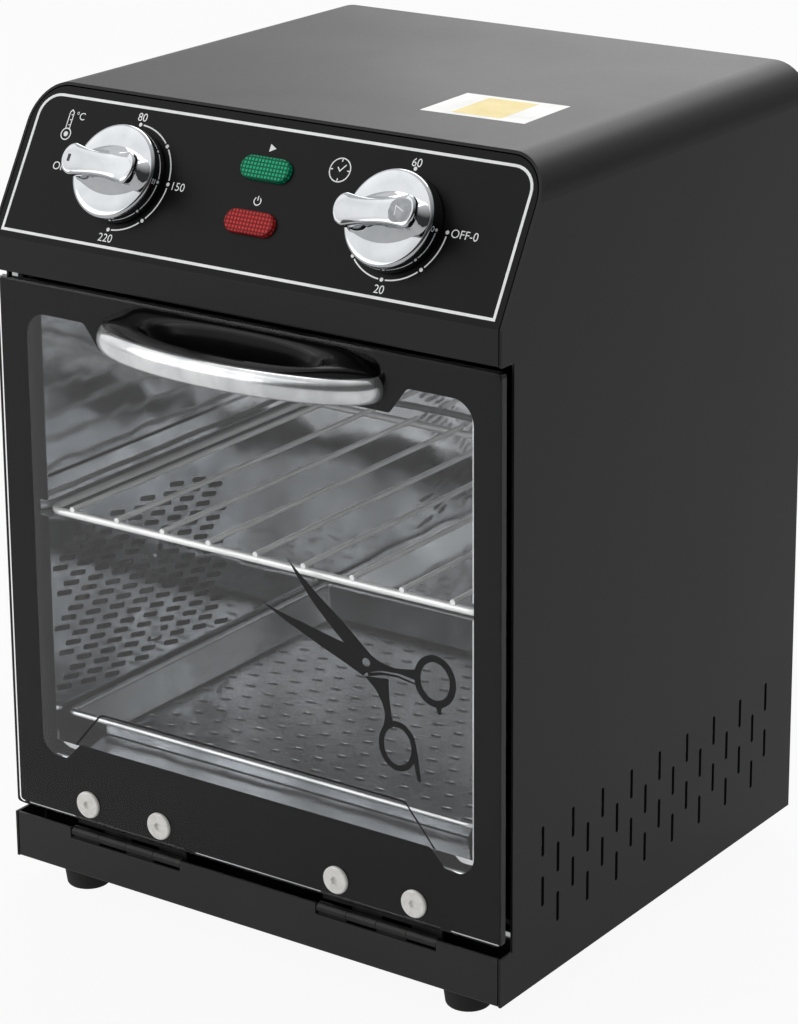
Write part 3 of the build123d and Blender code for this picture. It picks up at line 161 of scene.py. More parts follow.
@dataclass
class Layers:
    """The nodes of one material that its later layers build on."""

    tree: NodeTree
    shader: Node
    place: NodeSocket
    grain: Node
    patch: Node

    def tone(self, color: str, value: NodeSocket, start: float = 0.0, end: float = 1.0) -> None:
        """Lays a second colour over the base colour.

        Args:
            color: The colour's hex code.
            value: The socket of the value that brings it in.
            start: The value at which it sets in.
            end: The value from which on it covers the base.
        """
        base = self.shader.inputs["Base Color"]
        under = {6: base.links[0].from_socket} if base.links else {}
        share = add(self.tree, "ShaderNodeMapRange", {"From Min": start, "From Max": end}, {"Value": value})
        colors = {"data_type": "RGBA", 6: tuple(base.default_value), 7: linear(color)}
        both = add(self.tree, "ShaderNodeMix", colors, {0: share, **under})
        self.tree.links.new(both.outputs[2], base)

    def rise(self) -> NodeSocket:
        """Returns the socket that is 1 on level faces and 0 on upright ones."""
        facing = add(self.tree, "ShaderNodeNewGeometry").outputs["Normal"]
        return add(self.tree, "ShaderNodeSeparateXYZ", {}, {"Vector": facing}).outputs["Z"]


# ---------------------------------------------------------------- finishes
@dataclass(frozen=True)
class Finish:
    """A real surface finish as one Principled shader.

    Sizes are millimetres: grain is the fine texture and its depth, patch the soft
    change in gloss and tone, edge the width of a rubbed or softened edge, and wave the
    slow swell of a sheet.
    """

    name: str
    color: str
    roughness: float
    metallic: float = 0.0
    ior: float = 1.5
    specular: float = 0.5
    grain: float = 1.0
    grain_depth: float = 0.004
    direction: Grain = Grain.EVEN
    patch: float = 40.0
    patch_gloss: float = 0.05
    patch_color: str = ""
    edge: float = 0.0
    edge_color: str = ""
    wave: float = 0.0
    wave_depth: float = 0.0
    grain_detail: float = 3.0
    patch_detail: float = 4.0
    patch_bend: float = 0.4
    grain_share: float = 0.5

    def build(self) -> Material:
        """Builds the material on its first use and shares it after that.

        Returns:
            The material.
        """
        made = bpy.data.materials.get(self.name)
        if made:
            return made
        made = bpy.data.materials.new(self.name)
        made.use_nodes = True
        made.node_tree.nodes.clear()
        layers = self.layers(made.node_tree)
        layers.tree.links.new(self.relief(layers).outputs[0], layers.shader.inputs["Normal"])
        self.tint(layers)
        add(layers.tree, "ShaderNodeOutputMaterial", {}, {"Surface": self.surface(layers)})
        return made

    def layers(self, tree: NodeTree) -> Layers:
        """Adds the shader, its grain and the patches that vary its gloss.

        Args:
            tree: The material's empty node tree.

        Returns:
            The nodes that the later layers build on.
        """
        place = add(tree, "ShaderNodeTexCoord").outputs["Object"]
        drawn = add(tree, "ShaderNodeMapping", {"Scale": self.direction.value}, {"Vector": place})
        fine = {"Scale": per_metre(self.grain), "Detail": self.grain_detail}
        grain = add(tree, "ShaderNodeTexNoise", fine, {"Vector": drawn})
        broad = {"Scale": per_metre(self.patch), "Detail": self.patch_detail, "Distortion": self.patch_bend}
        patch = add(tree, "ShaderNodeTexNoise", broad, {"Vector": place})
        sum_up = {"operation": "MULTIPLY_ADD", 1: self.grain_share}
        uneven = add(tree, "ShaderNodeMath", sum_up, {0: grain, 2: patch})
        span = dict(zip(("From Min", "From Max"), GLOSS_SPAN))
        span["To Min"] = max(self.roughness - self.patch_gloss, 0.0)
        span["To Max"] = self.roughness + self.patch_gloss
        gloss = add(tree, "ShaderNodeMapRange", span, {"Value": uneven})
        settings = {
            "Base Color": linear(self.color),
            "Roughness": self.roughness,
            "Metallic": self.metallic,
            "Specular IOR Level": self.specular,
        }
        if not self.metallic:
            settings["IOR"] = self.ior
        shader = add(tree, "ShaderNodeBsdfPrincipled", settings, {"Roughness": gloss})
        return Layers(tree, shader, place, grain, patch)

    def relief(self, layers: Layers) -> Node:
        """Adds the grain's relief, over slow waves in a sheet where it has them.

        Args:
            layers: The material's nodes so far.

        Returns:
            The node that gives the surface's normal.
        """
        links = {"Height": layers.grain}
        if self.wave:
            slow = {"Scale": per_metre(self.wave), "Detail": 1.0}
            swell = add(layers.tree, "ShaderNodeTexNoise", slow, {"Vector": layers.place})
            depth = {"Distance": self.wave_depth * MM}
            links["Normal"] = add(layers.tree, "ShaderNodeBump", depth, {"Height": swell})
        return add(layers.tree, "ShaderNodeBump", {"Distance": self.grain_depth * MM}, links)

    def tint(self, layers: Layers) -> None:
        """Adds the patchy second tone and the rubbed edge's tone.

        Args:
            layers: The material's nodes so far.
        """
        if self.patch_color:
            layers.tone(self.patch_color, layers.patch.outputs[0], *PATCH_SPAN)
        self.rub(layers)

    def rub(self, layers: Layers) -> None:
        """Adds the rubbed edge's tone, where the finish has one.

        Args:
            layers: The material's nodes so far.
        """
        if not self.edge:
            return
        soft = add(layers.tree, "ShaderNodeBevel", {"samples": 4, "Radius": self.edge * MM})
        flat = add(layers.tree, "ShaderNodeNewGeometry").outputs["Normal"]
        turn = add(layers.tree, "ShaderNodeVectorMath", {"operation": "DOT_PRODUCT"}, {0: soft, 1: flat})
        layers.tone(self.edge_color, turn.outputs["Value"], *RUB_SPAN)

    def surface(self, layers: Layers) -> Node:
        """Returns the node that the material's output takes."""
        return layers.shader


@dataclass(frozen=True)
class Glass(Finish):
    """Clear glass that lets lamp light pass straight through to what lies behind."""

    shadow_color: str = "#eef4f2"

    def surface(self, layers: Layers) -> Node:
        """Makes the shader clear and lets shadow rays pass.

        Args:
            layers: The material's nodes so far.

        Returns:
            The node that the material's output takes.
        """
        layers.shader.inputs["Transmission Weight"].default_value = 1.0
        shadow = add(layers.tree, "ShaderNodeLightPath").outputs["Is Shadow Ray"]
        clear = add(layers.tree, "ShaderNodeBsdfTransparent", {"Color": linear(self.shadow_color)})
        return add(layers.tree, "ShaderNodeMixShader", {}, {0: shadow, 1: layers.shader, 2: clear})


@dataclass(frozen=True)
class SlopedFinish(Finish):
    """A coat whose upright faces are painted paler than its sloped and level ones: painted sheen for the
    light that they catch.
    """

    # The upright faces' tone is painted sheen: light they catch, painted into the colour.
    upright_sheen_color: str = "#2b2b2c"

    def tint(self, layers: Layers) -> None:
        """Adds the painted sheen: a paler tone on the upright faces."""
        layers.tone(self.upright_sheen_color, layers.rise(), *UPRIGHT_SHEEN_SPAN)


@dataclass(frozen=True)
class DimpledFinish(Finish):
    """Polished sheet with rows of small pressed dimples."""

    pitch: float = 7.5
    stretch: float = 0.55
    turn: float = 27.0
    dimple: float = 0.2
    dimple_floor: float = 0.12
    dimple_depth: float = 0.8
    dimple_color: str = "#4a4b4d"

    def marks(self, layers: Layers) -> Node:
        """Adds the dimples on level faces.

        Args:
            layers: The material's nodes so far.

        Returns:
            The node that gives 1 inside the dimples and 0 outside.
        """
        turned = {"Scale": (self.stretch, 1.0, 0.0), "Rotation": (0.0, 0.0, radians(self.turn))}
        level = add(layers.tree, "ShaderNodeMapping", turned, {"Vector": layers.place})
        grid = {"Randomness": 0.0, "Scale": per_metre(self.pitch)}
        cells = add(layers.tree, "ShaderNodeTexVoronoi", grid, {"Vector": level})
        size = {"From Min": self.dimple, "From Max": self.dimple_floor}
        press = add(layers.tree, "ShaderNodeMapRange", size, {"Value": cells.outputs["Distance"]})
        span = dict(zip(("From Min", "From Max"), LEVEL_SPAN))
        upward = add(layers.tree, "ShaderNodeMapRange", span, {"Value": layers.rise()})
        return add(layers.tree, "ShaderNodeMath", {"operation": "MULTIPLY"}, {0: press, 1: upward})

    def relief(self, layers: Layers) -> Node:
        """Adds the dimples over the sheet's grain and waves.

        Args:
            layers: The material's nodes so far.

        Returns:
            The node that gives the surface's normal.
        """
        links = {"Height": self.marks(layers), "Normal": super().relief(layers)}
        return add(layers.tree, "ShaderNodeBump", {"Distance": self.dimple_depth * MM, "invert": True}, links)

    def tint(self, layers: Layers) -> None:
        """Adds the patchy tone and the shade inside the dimples."""
        super().tint(layers)
        layers.tone(self.dimple_color, self.marks(layers).outputs[0])


@dataclass(frozen=True)
class PrismLens(Finish):
    """Coloured lamp lens with a moulded grid of small prisms on its inside."""

    cell: float = 1.5
    slope: float = 30.0
    glow: float = 0.02
    coat: float = 0.05

    def prisms(self, layers: Layers) -> NodeSocket:
        """Adds the grid of prisms, lined up with the sloped panel.

        Args:
            layers: The material's nodes so far.

        Returns:
            The socket of the distance from the nearest prism's middle.
        """
        turned = {"Rotation": (radians(self.slope), 0.0, 0.0)}
        place = add(layers.tree, "ShaderNodeMapping", turned, {"Vector": layers.place})
        grid = {"distance": "CHEBYCHEV", "Randomness": 0.0, "Scale": per_metre(self.cell)}
        return add(layers.tree, "ShaderNodeTexVoronoi", grid, {"Vector": place}).outputs["Distance"]

    def relief(self, layers: Layers) -> Node:
        """Adds the prisms' relief.

        Args:
            layers: The material's nodes so far.

        Returns:
            The node that gives the surface's normal.
        """
        depth = {"Distance": self.grain_depth * MM, "invert": True}
        return add(layers.tree, "ShaderNodeBump", depth, {"Height": self.prisms(layers)})

    def tint(self, layers: Layers) -> None:
        """Adds the darker gaps between the prisms and the lens's dark rim."""
        layers.tone(self.patch_color, self.prisms(layers), *PRISM_SPAN)
        self.rub(layers)

    def surface(self, layers: Layers) -> Node:
        """Gives the lens a polished skin and a faint glow.

        Args:
            layers: The material's nodes so far.

        Returns:
            The node that the material's output takes.
        """
        inputs = layers.shader.inputs
        inputs["Coat Weight"].default_value = self.coat
        inputs["Emission Color"].default_value = linear(self.color)
        inputs["Emission Strength"].default_value = self.glow
        return layers.shader


# Polyester powder coat baked on steel: satin black with a fine orange peel that
# blurs the room's reflection. The real peel is 0.4 mm; 0.9 mm shows at this size.
COAT = Finish(
    "Satin powder-coated steel", "#171717", 0.42, specular=0.24, grain=0.9, grain_depth=0.016, patch=60.0,
    patch_gloss=0.03, patch_color="#1b1b1c", edge=0.5, edge_color="#2b2b2c",
)
# The same coat on the front sheet, a little glossier under the screen print, with a painted sheen on its
# upright faces.
PANEL_COAT = SlopedFinish(
    "Semi-gloss powder-coated panel", "#0d0d0e", 0.34, specular=0.14, grain=0.9, grain_depth=0.010,
    patch=50.0, patch_gloss=0.03,
)
# The coat on the low strip, its colour painted paler than the case's: painted sheen for the light that the
# strip catches.
SHEEN_STRIP_COAT = Finish(
    "Powder-coated steel with painted sheen", "#262627", 0.45, specular=0.30, grain=0.9, grain_depth=0.016, patch=60.0,
    patch_gloss=0.03, patch_color="#2a2a2b", edge=0.5, edge_color="#3a3a3b",
)
# Epoxy screen ink: flat white, a little broken where it sits on the coat's peel.
INK = Finish(
    "White epoxy screen ink", "#fbfcfc", 0.45, grain=0.5, grain_depth=0.008, patch=9.0,
    patch_color="#eff1f1",
)
# Bright annealed stainless sheet for the chamber: mirror-like with slow waves.
LINER = Finish(
    "Bright annealed stainless steel", "#d0d2d4", 0.07, metallic=1.0, grain=0.7, grain_depth=0.003,
    direction=Grain.ALONG_Y, patch=35.0, patch_gloss=0.04, patch_color="#b2b4b6", wave=24.0,
    wave_depth=0.34,
)
# The same sheet pressed into the tray, polished again by the press tool.
TRAY_STEEL = DimpledFinish(
    "Pressed stainless tray steel", "#bcbec0", 0.15, metallic=1.0, grain=0.7, grain_depth=0.003,
    direction=Grain.ALONG_X, patch=30.0, patch_color="#a8aaac", wave=24.0, wave_depth=0.20,
)
# Hot-dip aluminised sheet of the heat shields: pale, dull and faintly spangled.
SHIELD = Finish(
    "Aluminised steel sheet", "#a3a5a6", 0.42, metallic=1.0, grain=2.5, grain_depth=0.006, patch=12.0,
    patch_gloss=0.10, patch_color="#909293",
)
# Decorative chrome over polished zinc alloy: a clean mirror with faint handling haze.
CHROME = Finish(
    "Chrome-plated zinc alloy", "#c3c5c8", 0.07, metallic=1.0, grain=0.6, grain_depth=0.0008, patch=9.0,
    patch_gloss=0.03, patch_color="#babdc0",
)
# Chrome on a drawn tube: the drawing lines run along the bar.
BAR_CHROME = Finish(
    "Chrome-plated drawn steel", "#f1f2f3", 0.18, metallic=0.88, grain=0.6, grain_depth=0.0010,
    direction=Grain.ALONG_X, patch=14.0, patch_gloss=0.04, patch_color="#d3d6d8",
)
# Chrome-plated wire, spot welded: bright on its upper side, hazier near the welds.
WIRE = Finish(
    "Chrome-plated steel wire", "#f8f8f8", 0.24, metallic=0.35, grain=0.8, grain_depth=0.002, patch=16.0,
    patch_gloss=0.03, patch_color="#eceded",
)
# Toughened float glass: clear, with a trace of wiping haze on its face. Its IOR is under
# glass's usual 1.5, which gives the weak reflection that the pane shows.
DOOR_GLASS = Glass(
    "Toughened float glass", "#ffffff", 0.012, ior=1.38, grain=40.0, grain_depth=0.0002, patch=55.0,
    patch_gloss=0.008,
)
# Black ceramic frit fused into the back of the glass: an even black with no gloss of
# its own, because no air lies between it and the pane.
FRIT = Finish(
    "Black ceramic frit", "#080809", 0.6, specular=0.0, grain=2.0, grain_depth=0.0004, patch=30.0,
    patch_color="#0b0b0c",
)
# Injection-moulded ABS in a polished tool: deep gloss black with slight flow waves.
GLOSS_ABS = Finish(
    "Gloss moulded ABS", "#0c0c0d", 0.16, ior=1.54, specular=0.2, grain=0.9, grain_depth=0.0012, patch=18.0,
    wave=16.0, wave_depth=0.03,
)
# Moulded nitrile rubber feet: matt charcoal with dust in the grain.
RUBBER = Finish(
    "Moulded nitrile rubber", "#1a1a1a", 0.78, grain=1.1, grain_depth=0.03, patch=8.0, patch_gloss=0.08,
    patch_color="#242423",
)
# Nickel-plated socket screws: warm pale metal, satin from the plating drum.
NICKEL = Finish(
    "Nickel-plated steel screw", "#f4f3ef", 0.38, metallic=0.2, grain=0.5, grain_depth=0.003, patch=3.0,
    patch_gloss=0.06, patch_color="#e6e4de",
)
# Zinc-plated hardware out of sight: bluish, dull, finely crystalline.
ZINC = Finish(
    "Zinc-plated steel", "#a7acb0", 0.38, metallic=1.0, grain=0.7, patch=4.0, patch_gloss=0.10,
    patch_color="#8d9296",
)
# Black-oxide hinge leaves: dark metal with a grey sheen where they rub.
BLACK_OXIDE = Finish(
    "Black-oxide steel", "#242424", 0.40, metallic=0.6, grain=0.6, grain_depth=0.006, patch=6.0,
    patch_gloss=0.08, patch_color="#2e2e2d", edge=0.3, edge_color="#4a4a48",
)
# Glazed alumina bushes: smooth off-white.
ALUMINA = Finish(
    "Alumina ceramic", "#e6e0d2", 0.45, ior=1.7, grain=0.8, grain_depth=0.01, patch=6.0,
    patch_color="#d8d0bf",
)
# Heater sheath browned by its own heat.
SHEATH = Finish(
    "Heat-tinted stainless sheath", "#6d625a", 0.42, metallic=1.0, grain=0.8, grain_depth=0.006, patch=14.0,
    patch_gloss=0.10, patch_color="#54565e",
)
# Drawn copper capillary: soft orange metal, dulled in places.
COPPER = Finish(
    "Drawn copper", "#c98562", 0.30, metallic=1.0, grain=0.5, grain_depth=0.003, patch=8.0,
    patch_gloss=0.08, patch_color="#9d6247",
)
# Glass-filled moulded resin of the controls and terminal block: matt dark grey.
RESIN = Finish(
    "Glass-filled nylon", "#2c2d2f", 0.55, ior=1.53, grain=0.8, grain_depth=0.012, patch=12.0,
    patch_color="#343538",
)
# Sintered ferrite magnet: grey-black and dull.
FERRITE = Finish(
    "Sintered ferrite", "#3a3937", 0.60, metallic=0.3, grain=0.5, grain_depth=0.01, patch=3.0,
    patch_color="#2f2e2d",
)
# Lamp lenses of dyed acrylic over a prism grid: each prism lights up as a small square,
# darker between and at the rim.
GREEN_LENS = PrismLens(
    "Green dyed acrylic", "#1cc08a", 0.2, ior=1.49, specular=0.1, grain_depth=0.35, patch_color="#034c35",
    edge=1.7, edge_color="#011c13",
)
RED_LENS = PrismLens(
    "Red dyed acrylic", "#dc4040", 0.2, ior=1.49, specular=0.1, grain_depth=0.35, patch_color="#6a1010",
    edge=1.7, edge_color="#240404",
)
# Self-adhesive vinyl label stock, plain: white with a printed yellow band.
VINYL = Finish(
    "White vinyl label stock", "#e8e8e6", 0.42, ior=1.52, grain=1.2, grain_depth=0.006, patch=14.0,
    patch_color="#dededb",
)
YELLOW_PRINT = Finish("Yellow flexo print", "#e4d084", 0.45, grain=0.9, patch=9.0, patch_color="#ddc878")
# Grey strip drawn flat in the temperature knob's slot mark: painted shade of the slot's groove.
SLOT_SHADE = Finish("Grey painted slot shade", "#47494c", 0.5, grain=0.4, patch=3.0, patch_color="#404244")
# Chrome on the flat facet at the timer grip's end, laid flat on the saddle: the same metal, duller, its
# greyer colour painted shade for the facet.
FACET_SHADE_CHROME = Finish(
    "Chrome with painted facet shade", "#8f9194", 0.36, metallic=1.0, grain=0.5, grain_depth=0.006,
    patch=4.0, patch_color="#808285",
)


# ---------------------------------------------------------------- making pieces
def make_piece(name: str, vertices: list, faces: list, smooth: bool = True) -> Object:
    """Makes a mesh object whose vertices already stand in the model's frame.

    Args:
        name: The piece's name.
        vertices: Points in metres.
        faces: Lists of vertex numbers.
        smooth: Whether its shading is smooth except at sharp edges.

    Returns:
        The object, linked to the scene.
    """
    mesh = bpy.data.meshes.new(name)
    mesh.from_pydata([tuple(v) for v in vertices], [], faces)
    work = bmesh.new()
    work.from_mesh(mesh)
    bmesh.ops.remove_doubles(work, verts=work.verts, dist=WELD_GAP * MM)
    bmesh.ops.recalc_face_normals(work, faces=work.faces)
    work.to_mesh(mesh)
    work.free()
    if smooth:
        mesh.shade_smooth()
        mesh.set_sharp_from_angle(angle=radians(CREASE_ANGLE))
    piece = bpy.data.objects.new(name, mesh)
    bpy.context.scene.collection.objects.link(piece)
    return piece


def settle(piece: Object, finish: Finish, body: Body, stands_for: tuple = ()) -> None:
    """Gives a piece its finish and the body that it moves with.

    Args:
        piece: The mesh object.
        finish: Its finish.
        body: The body that carries it.
        stands_for: Names of the frame's nodes that it replaces.
    """
    piece.data.materials.append(finish.build())
    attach(piece, body.value)
    if stands_for:
        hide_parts(*stands_for)
    log.info("%s: %s, on %s", piece.name, finish.name, body.value)


def loft(rings: list[list[Vector]], capped: bool = True) -> tuple[list, list]:
    """Skins a row of closed rings that have the same number of points.

    Args:
        rings: The rings, in order.
        capped: Whether the first and last ring are closed with a face.

    Returns:
        The vertices and the faces.
    """
    count = len(rings[0])
    vertices = [point for ring in rings for point in ring]
    faces = []
    for level in range(len(rings) - 1):
        for k in range(count):
            a, b = level * count + k, level * count + (k + 1) % count
            faces.append((a, b, b + count, a + count))
    if capped:
        faces.append(tuple(range(count))[::-1])
        faces.append(tuple(len(vertices) - count + k for k in range(count)))
    return vertices, faces


def rounded(corners: list[tuple[float, float, float]], steps: int = 8) -> list[Vector]:
    """Rounds the corners of a closed outline.

    Args:
        corners: Each corner's across, up and radius, in millimetres.
        steps: Points per rounded corner.

    Returns:
        The outline's points.
    """
    points = []
    for k, (x, y, radius) in enumerate(corners):
        here = Vector((x, y))
        before = (Vector(corners[k - 1][:2]) - here).normalized()
        after = (Vector(corners[(k + 1) % len(corners)][:2]) - here).normalized()
        half = before.angle(after) / 2
        if radius <= 0 or half > radians(STRAIGHT_ANGLE):
            points.append(here)
            continue
        start = here + before * (radius / tan(half))
        centre = here + (before + after).normalized() * (radius / sin(half))
        sweep = (start - centre).angle_signed(here + after * (radius / tan(half)) - centre)
        for step in range(steps + 1):
            turn = Matrix.Rotation(-sweep * step / steps, 2)
            points.append(centre + turn @ (start - centre))
    return points


@dataclass
class Plane:
    """A flat place in the model, measured in millimetres across and up."""

    origin: Vector
    across: Vector
    up: Vector

    def point(self, x: float, y: float, lift: float = 0.0) -> Vector:
        """Returns the model's point at x across, y up and lift out of the plane."""
        out = self.across.cross(self.up)
        return self.origin + (self.across * x + self.up * y + out * lift) * MM


@dataclass
class Artwork:
    """Flat ink or label shapes collected on one plane, in millimetres."""

    plane: Plane
    vertices: list = field(default_factory=list)
    faces: list = field(default_factory=list)

    def fill(self, outline: list, *holes: list) -> None:
        """Fills an outline, less its holes.

        Args:
            outline: The outline's points.
            holes: The points of each hole.
        """
        loops = [[Vector((p[0], p[1], 0.0)) for p in loop] for loop in (outline, *holes)]
        first = len(self.vertices)
        self.vertices += [point.xy for loop in loops for point in loop]
        self.faces += [tuple(first + k for k in face) for face in tessellate_polygon(loops)]

    def stroke(self, points: list, width: float | list[float], closed: bool = False) -> None:
        """Draws a line whose corners are mitred.

        Args:
            points: The line's points.
            width: Its width, or one width per point.
            closed: Whether it comes back to its first point.
        """
        points = [Vector(p) for p in points]
        count = len(points)
        widths = width if isinstance(width, list) else [width] * count
        first = len(self.vertices)
        for k, point in enumerate(points):
            back = points[k - 1] if closed or k else point - (points[1] - point)
            ahead = points[(k + 1) % count] if closed or k < count - 1 else point + (point - back)
            one, two = (point - back).normalized(), (ahead - point).normalized()
            normal = Vector((-(one + two).y, (one + two).x)).normalized()
            reach = widths[k] / 2 / max(normal.dot(Vector((-one.y, one.x))), MITRE_LIMIT)
            self.vertices += [point + normal * reach, point - normal * reach]
        for k in range(count if closed else count - 1):
            a, b = first + 2 * k, first + 2 * ((k + 1) % count)
            self.faces.append((a, a + 1, b + 1, b))

    def disc(self, x: float, y: float, radius: float, steps: int = 28) -> None:
        """Fills a round dot."""
        self.fill(self.arc(x, y, radius, 0.0, 360.0 * (steps - 1) / steps, steps))

    def ring(self, x: float, y: float, radius: float, width: float, steps: int = 64) -> None:
        """Draws a circle's line."""
        self.stroke(self.arc(x, y, radius, 0.0, 360.0 * (steps - 1) / steps, steps), width, closed=True)

    @staticmethod
    def arc(x: float, y: float, radius: float, start: float, end: float, steps: int = 40) -> list[Vector]:
        """Returns points on an arc, its angles in degrees from the right, counter-clockwise."""
        turns = (radians(start + (end - start) * k / (steps - 1)) for k in range(steps))
        return [Vector((x + radius * cos(t), y + radius * sin(t))) for t in turns]

    def write(self, text: str, x: float, y: float, height: float, align: Align = Align.CENTRE) -> None:
        """Sets a number or sign in the built-in typeface.

        Args:
            text: What is written.
            x: Its place across.
            y: The height of its middle.
            height: Its capital height.
            align: How it stands about x.
        """
        curve = bpy.data.curves.new("type", "FONT")
        curve.body = text
        curve.align_x = align.value
        holder = bpy.data.objects.new("type", curve)
        bpy.context.scene.collection.objects.link(holder)
        bpy.context.view_layer.update()
        seen = holder.evaluated_get(bpy.context.evaluated_depsgraph_get())
        mesh = bpy.data.meshes.new_from_object(seen)
        rises = [v.co.y for v in mesh.vertices]
        top, low = max(rises), min(rises)
        scale, middle = height / (top - low), (top + low) / 2
        first = len(self.vertices)
        self.vertices += [Vector((x + v.co.x * scale, y + (v.co.y - middle) * scale)) for v in mesh.vertices]
        self.faces += [tuple(first + k for k in face.vertices) for face in mesh.polygons]
        bpy.data.objects.remove(holder)
        bpy.data.curves.remove(curve)
        bpy.data.meshes.remove(mesh)

    def build(self, name: str, lift: float = INK_LIFT) -> Object:
        """Makes one thin mesh of the artwork.

        Args:
            name: The piece's name.
            lift: How far it lies off its plane.

        Returns:
            The mesh object.
        """
        points = [self.plane.point(p[0], p[1], lift) for p in self.vertices]
        mesh = bpy.data.meshes.new(name)
        mesh.from_pydata([tuple(p) for p in points], [], self.faces)
        piece = bpy.data.objects.new(name, mesh)
        bpy.context.scene.collection.objects.link(piece)
        return piece


@dataclass
class SubAssembly:
    """A group of pieces that are built and finished together."""

    def finishes(self) -> dict[str, Finish]:
        """Returns the finish of each of the frame's nodes that it shows."""
        return {}

    def build(self) -> None:
        """Builds the pieces that the frame doesn't hold."""

    def dress(self) -> None:
        """Puts each finish on its node of the frame."""
        for name, finish in self.finishes().items():
            node = frame["nodes"][name]
            node.data.materials.clear()
            node.data.materials.append(finish.build())
            log.info("%s: %s", name, finish.name)


def joint_named(name: str) -> dict:
    """Returns the frame's joint of a name."""
    return next(j for j in frame["joints"] if j["name"] == name)


# ---------------------------------------------------------------- cabinet
@dataclass
class Cabinet(SubAssembly):
    """The painted case with its feet, hinges, screws and cord gland."""

    label_x: float = 57.4
    label_y: float = 82.4
    label_width: float = 44.0
    label_depth: float = 33.0
    label_turn: float = -2.4
    band_width: float = 21.0
    band_depth: float = 27.0

    def finishes(self) -> dict[str, Finish]:
        """Names the finish of each part of the case.

        Returns:
            The finish of each of its nodes.
        """
        feet = {f"foot_{end}_{side}": RUBBER for end in ("front", "rear") for side in ("left", "right")}
        painted = {"outer_cover": COAT, "rear_panel": COAT, "base_pan": SHEEN_STRIP_COAT}
        plated = {name: ZINC for name in ("foot_screws", "foot_nuts", "rear_screws", "hinge_nuts")}
        hinges = {
            f"hinge_{side}_{leaf}_leaf": BLACK_OXIDE
            for side in ("left", "right")
            for leaf in ("door", "base")
        }
        return {
            **painted, **feet, **plated, **hinges, "hinge_pins": BLACK_OXIDE, "hinge_screws": NICKEL,
            "cord_gland": RESIN, "gland_nut": RESIN, "terminal_block": RESIN,
        }

    def build(self) -> None:
        """Builds the blank label on the top."""
        origin = Vector((0.0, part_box("front_fascia")[0].y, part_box("outer_cover")[1].z))
        top = Plane(origin, ACROSS, REARWARD)
        self.plate(top, "top_label", self.label_width, self.label_depth, INK_LIFT, VINYL)
        self.plate(top, "top_label_band", self.band_width, self.band_depth, 2 * INK_LIFT, YELLOW_PRINT)

    def plate(self, top: Plane, name: str, width: float, depth: float, lift: float, finish: Finish) -> None:
        """Builds one rectangle of the label.

        Args:
            top: The plane of the case's top.
            name: The piece's name.
            width: Its size across.
            depth: Its size front to back.
            lift: Its height over the top.
            finish: Its finish.
        """
        turn = Matrix.Rotation(radians(-self.label_turn), 2)
        middle = Vector((self.label_x, self.label_y))
        sides = ((-width, -depth), (width, -depth), (width, depth), (-width, depth))
        corners = [turn @ Vector((x / 2, y / 2)) + middle for x, y in sides]
        art = Artwork(top)
        art.fill(corners)
        settle(art.build(name, lift), finish, Body.CABINET)


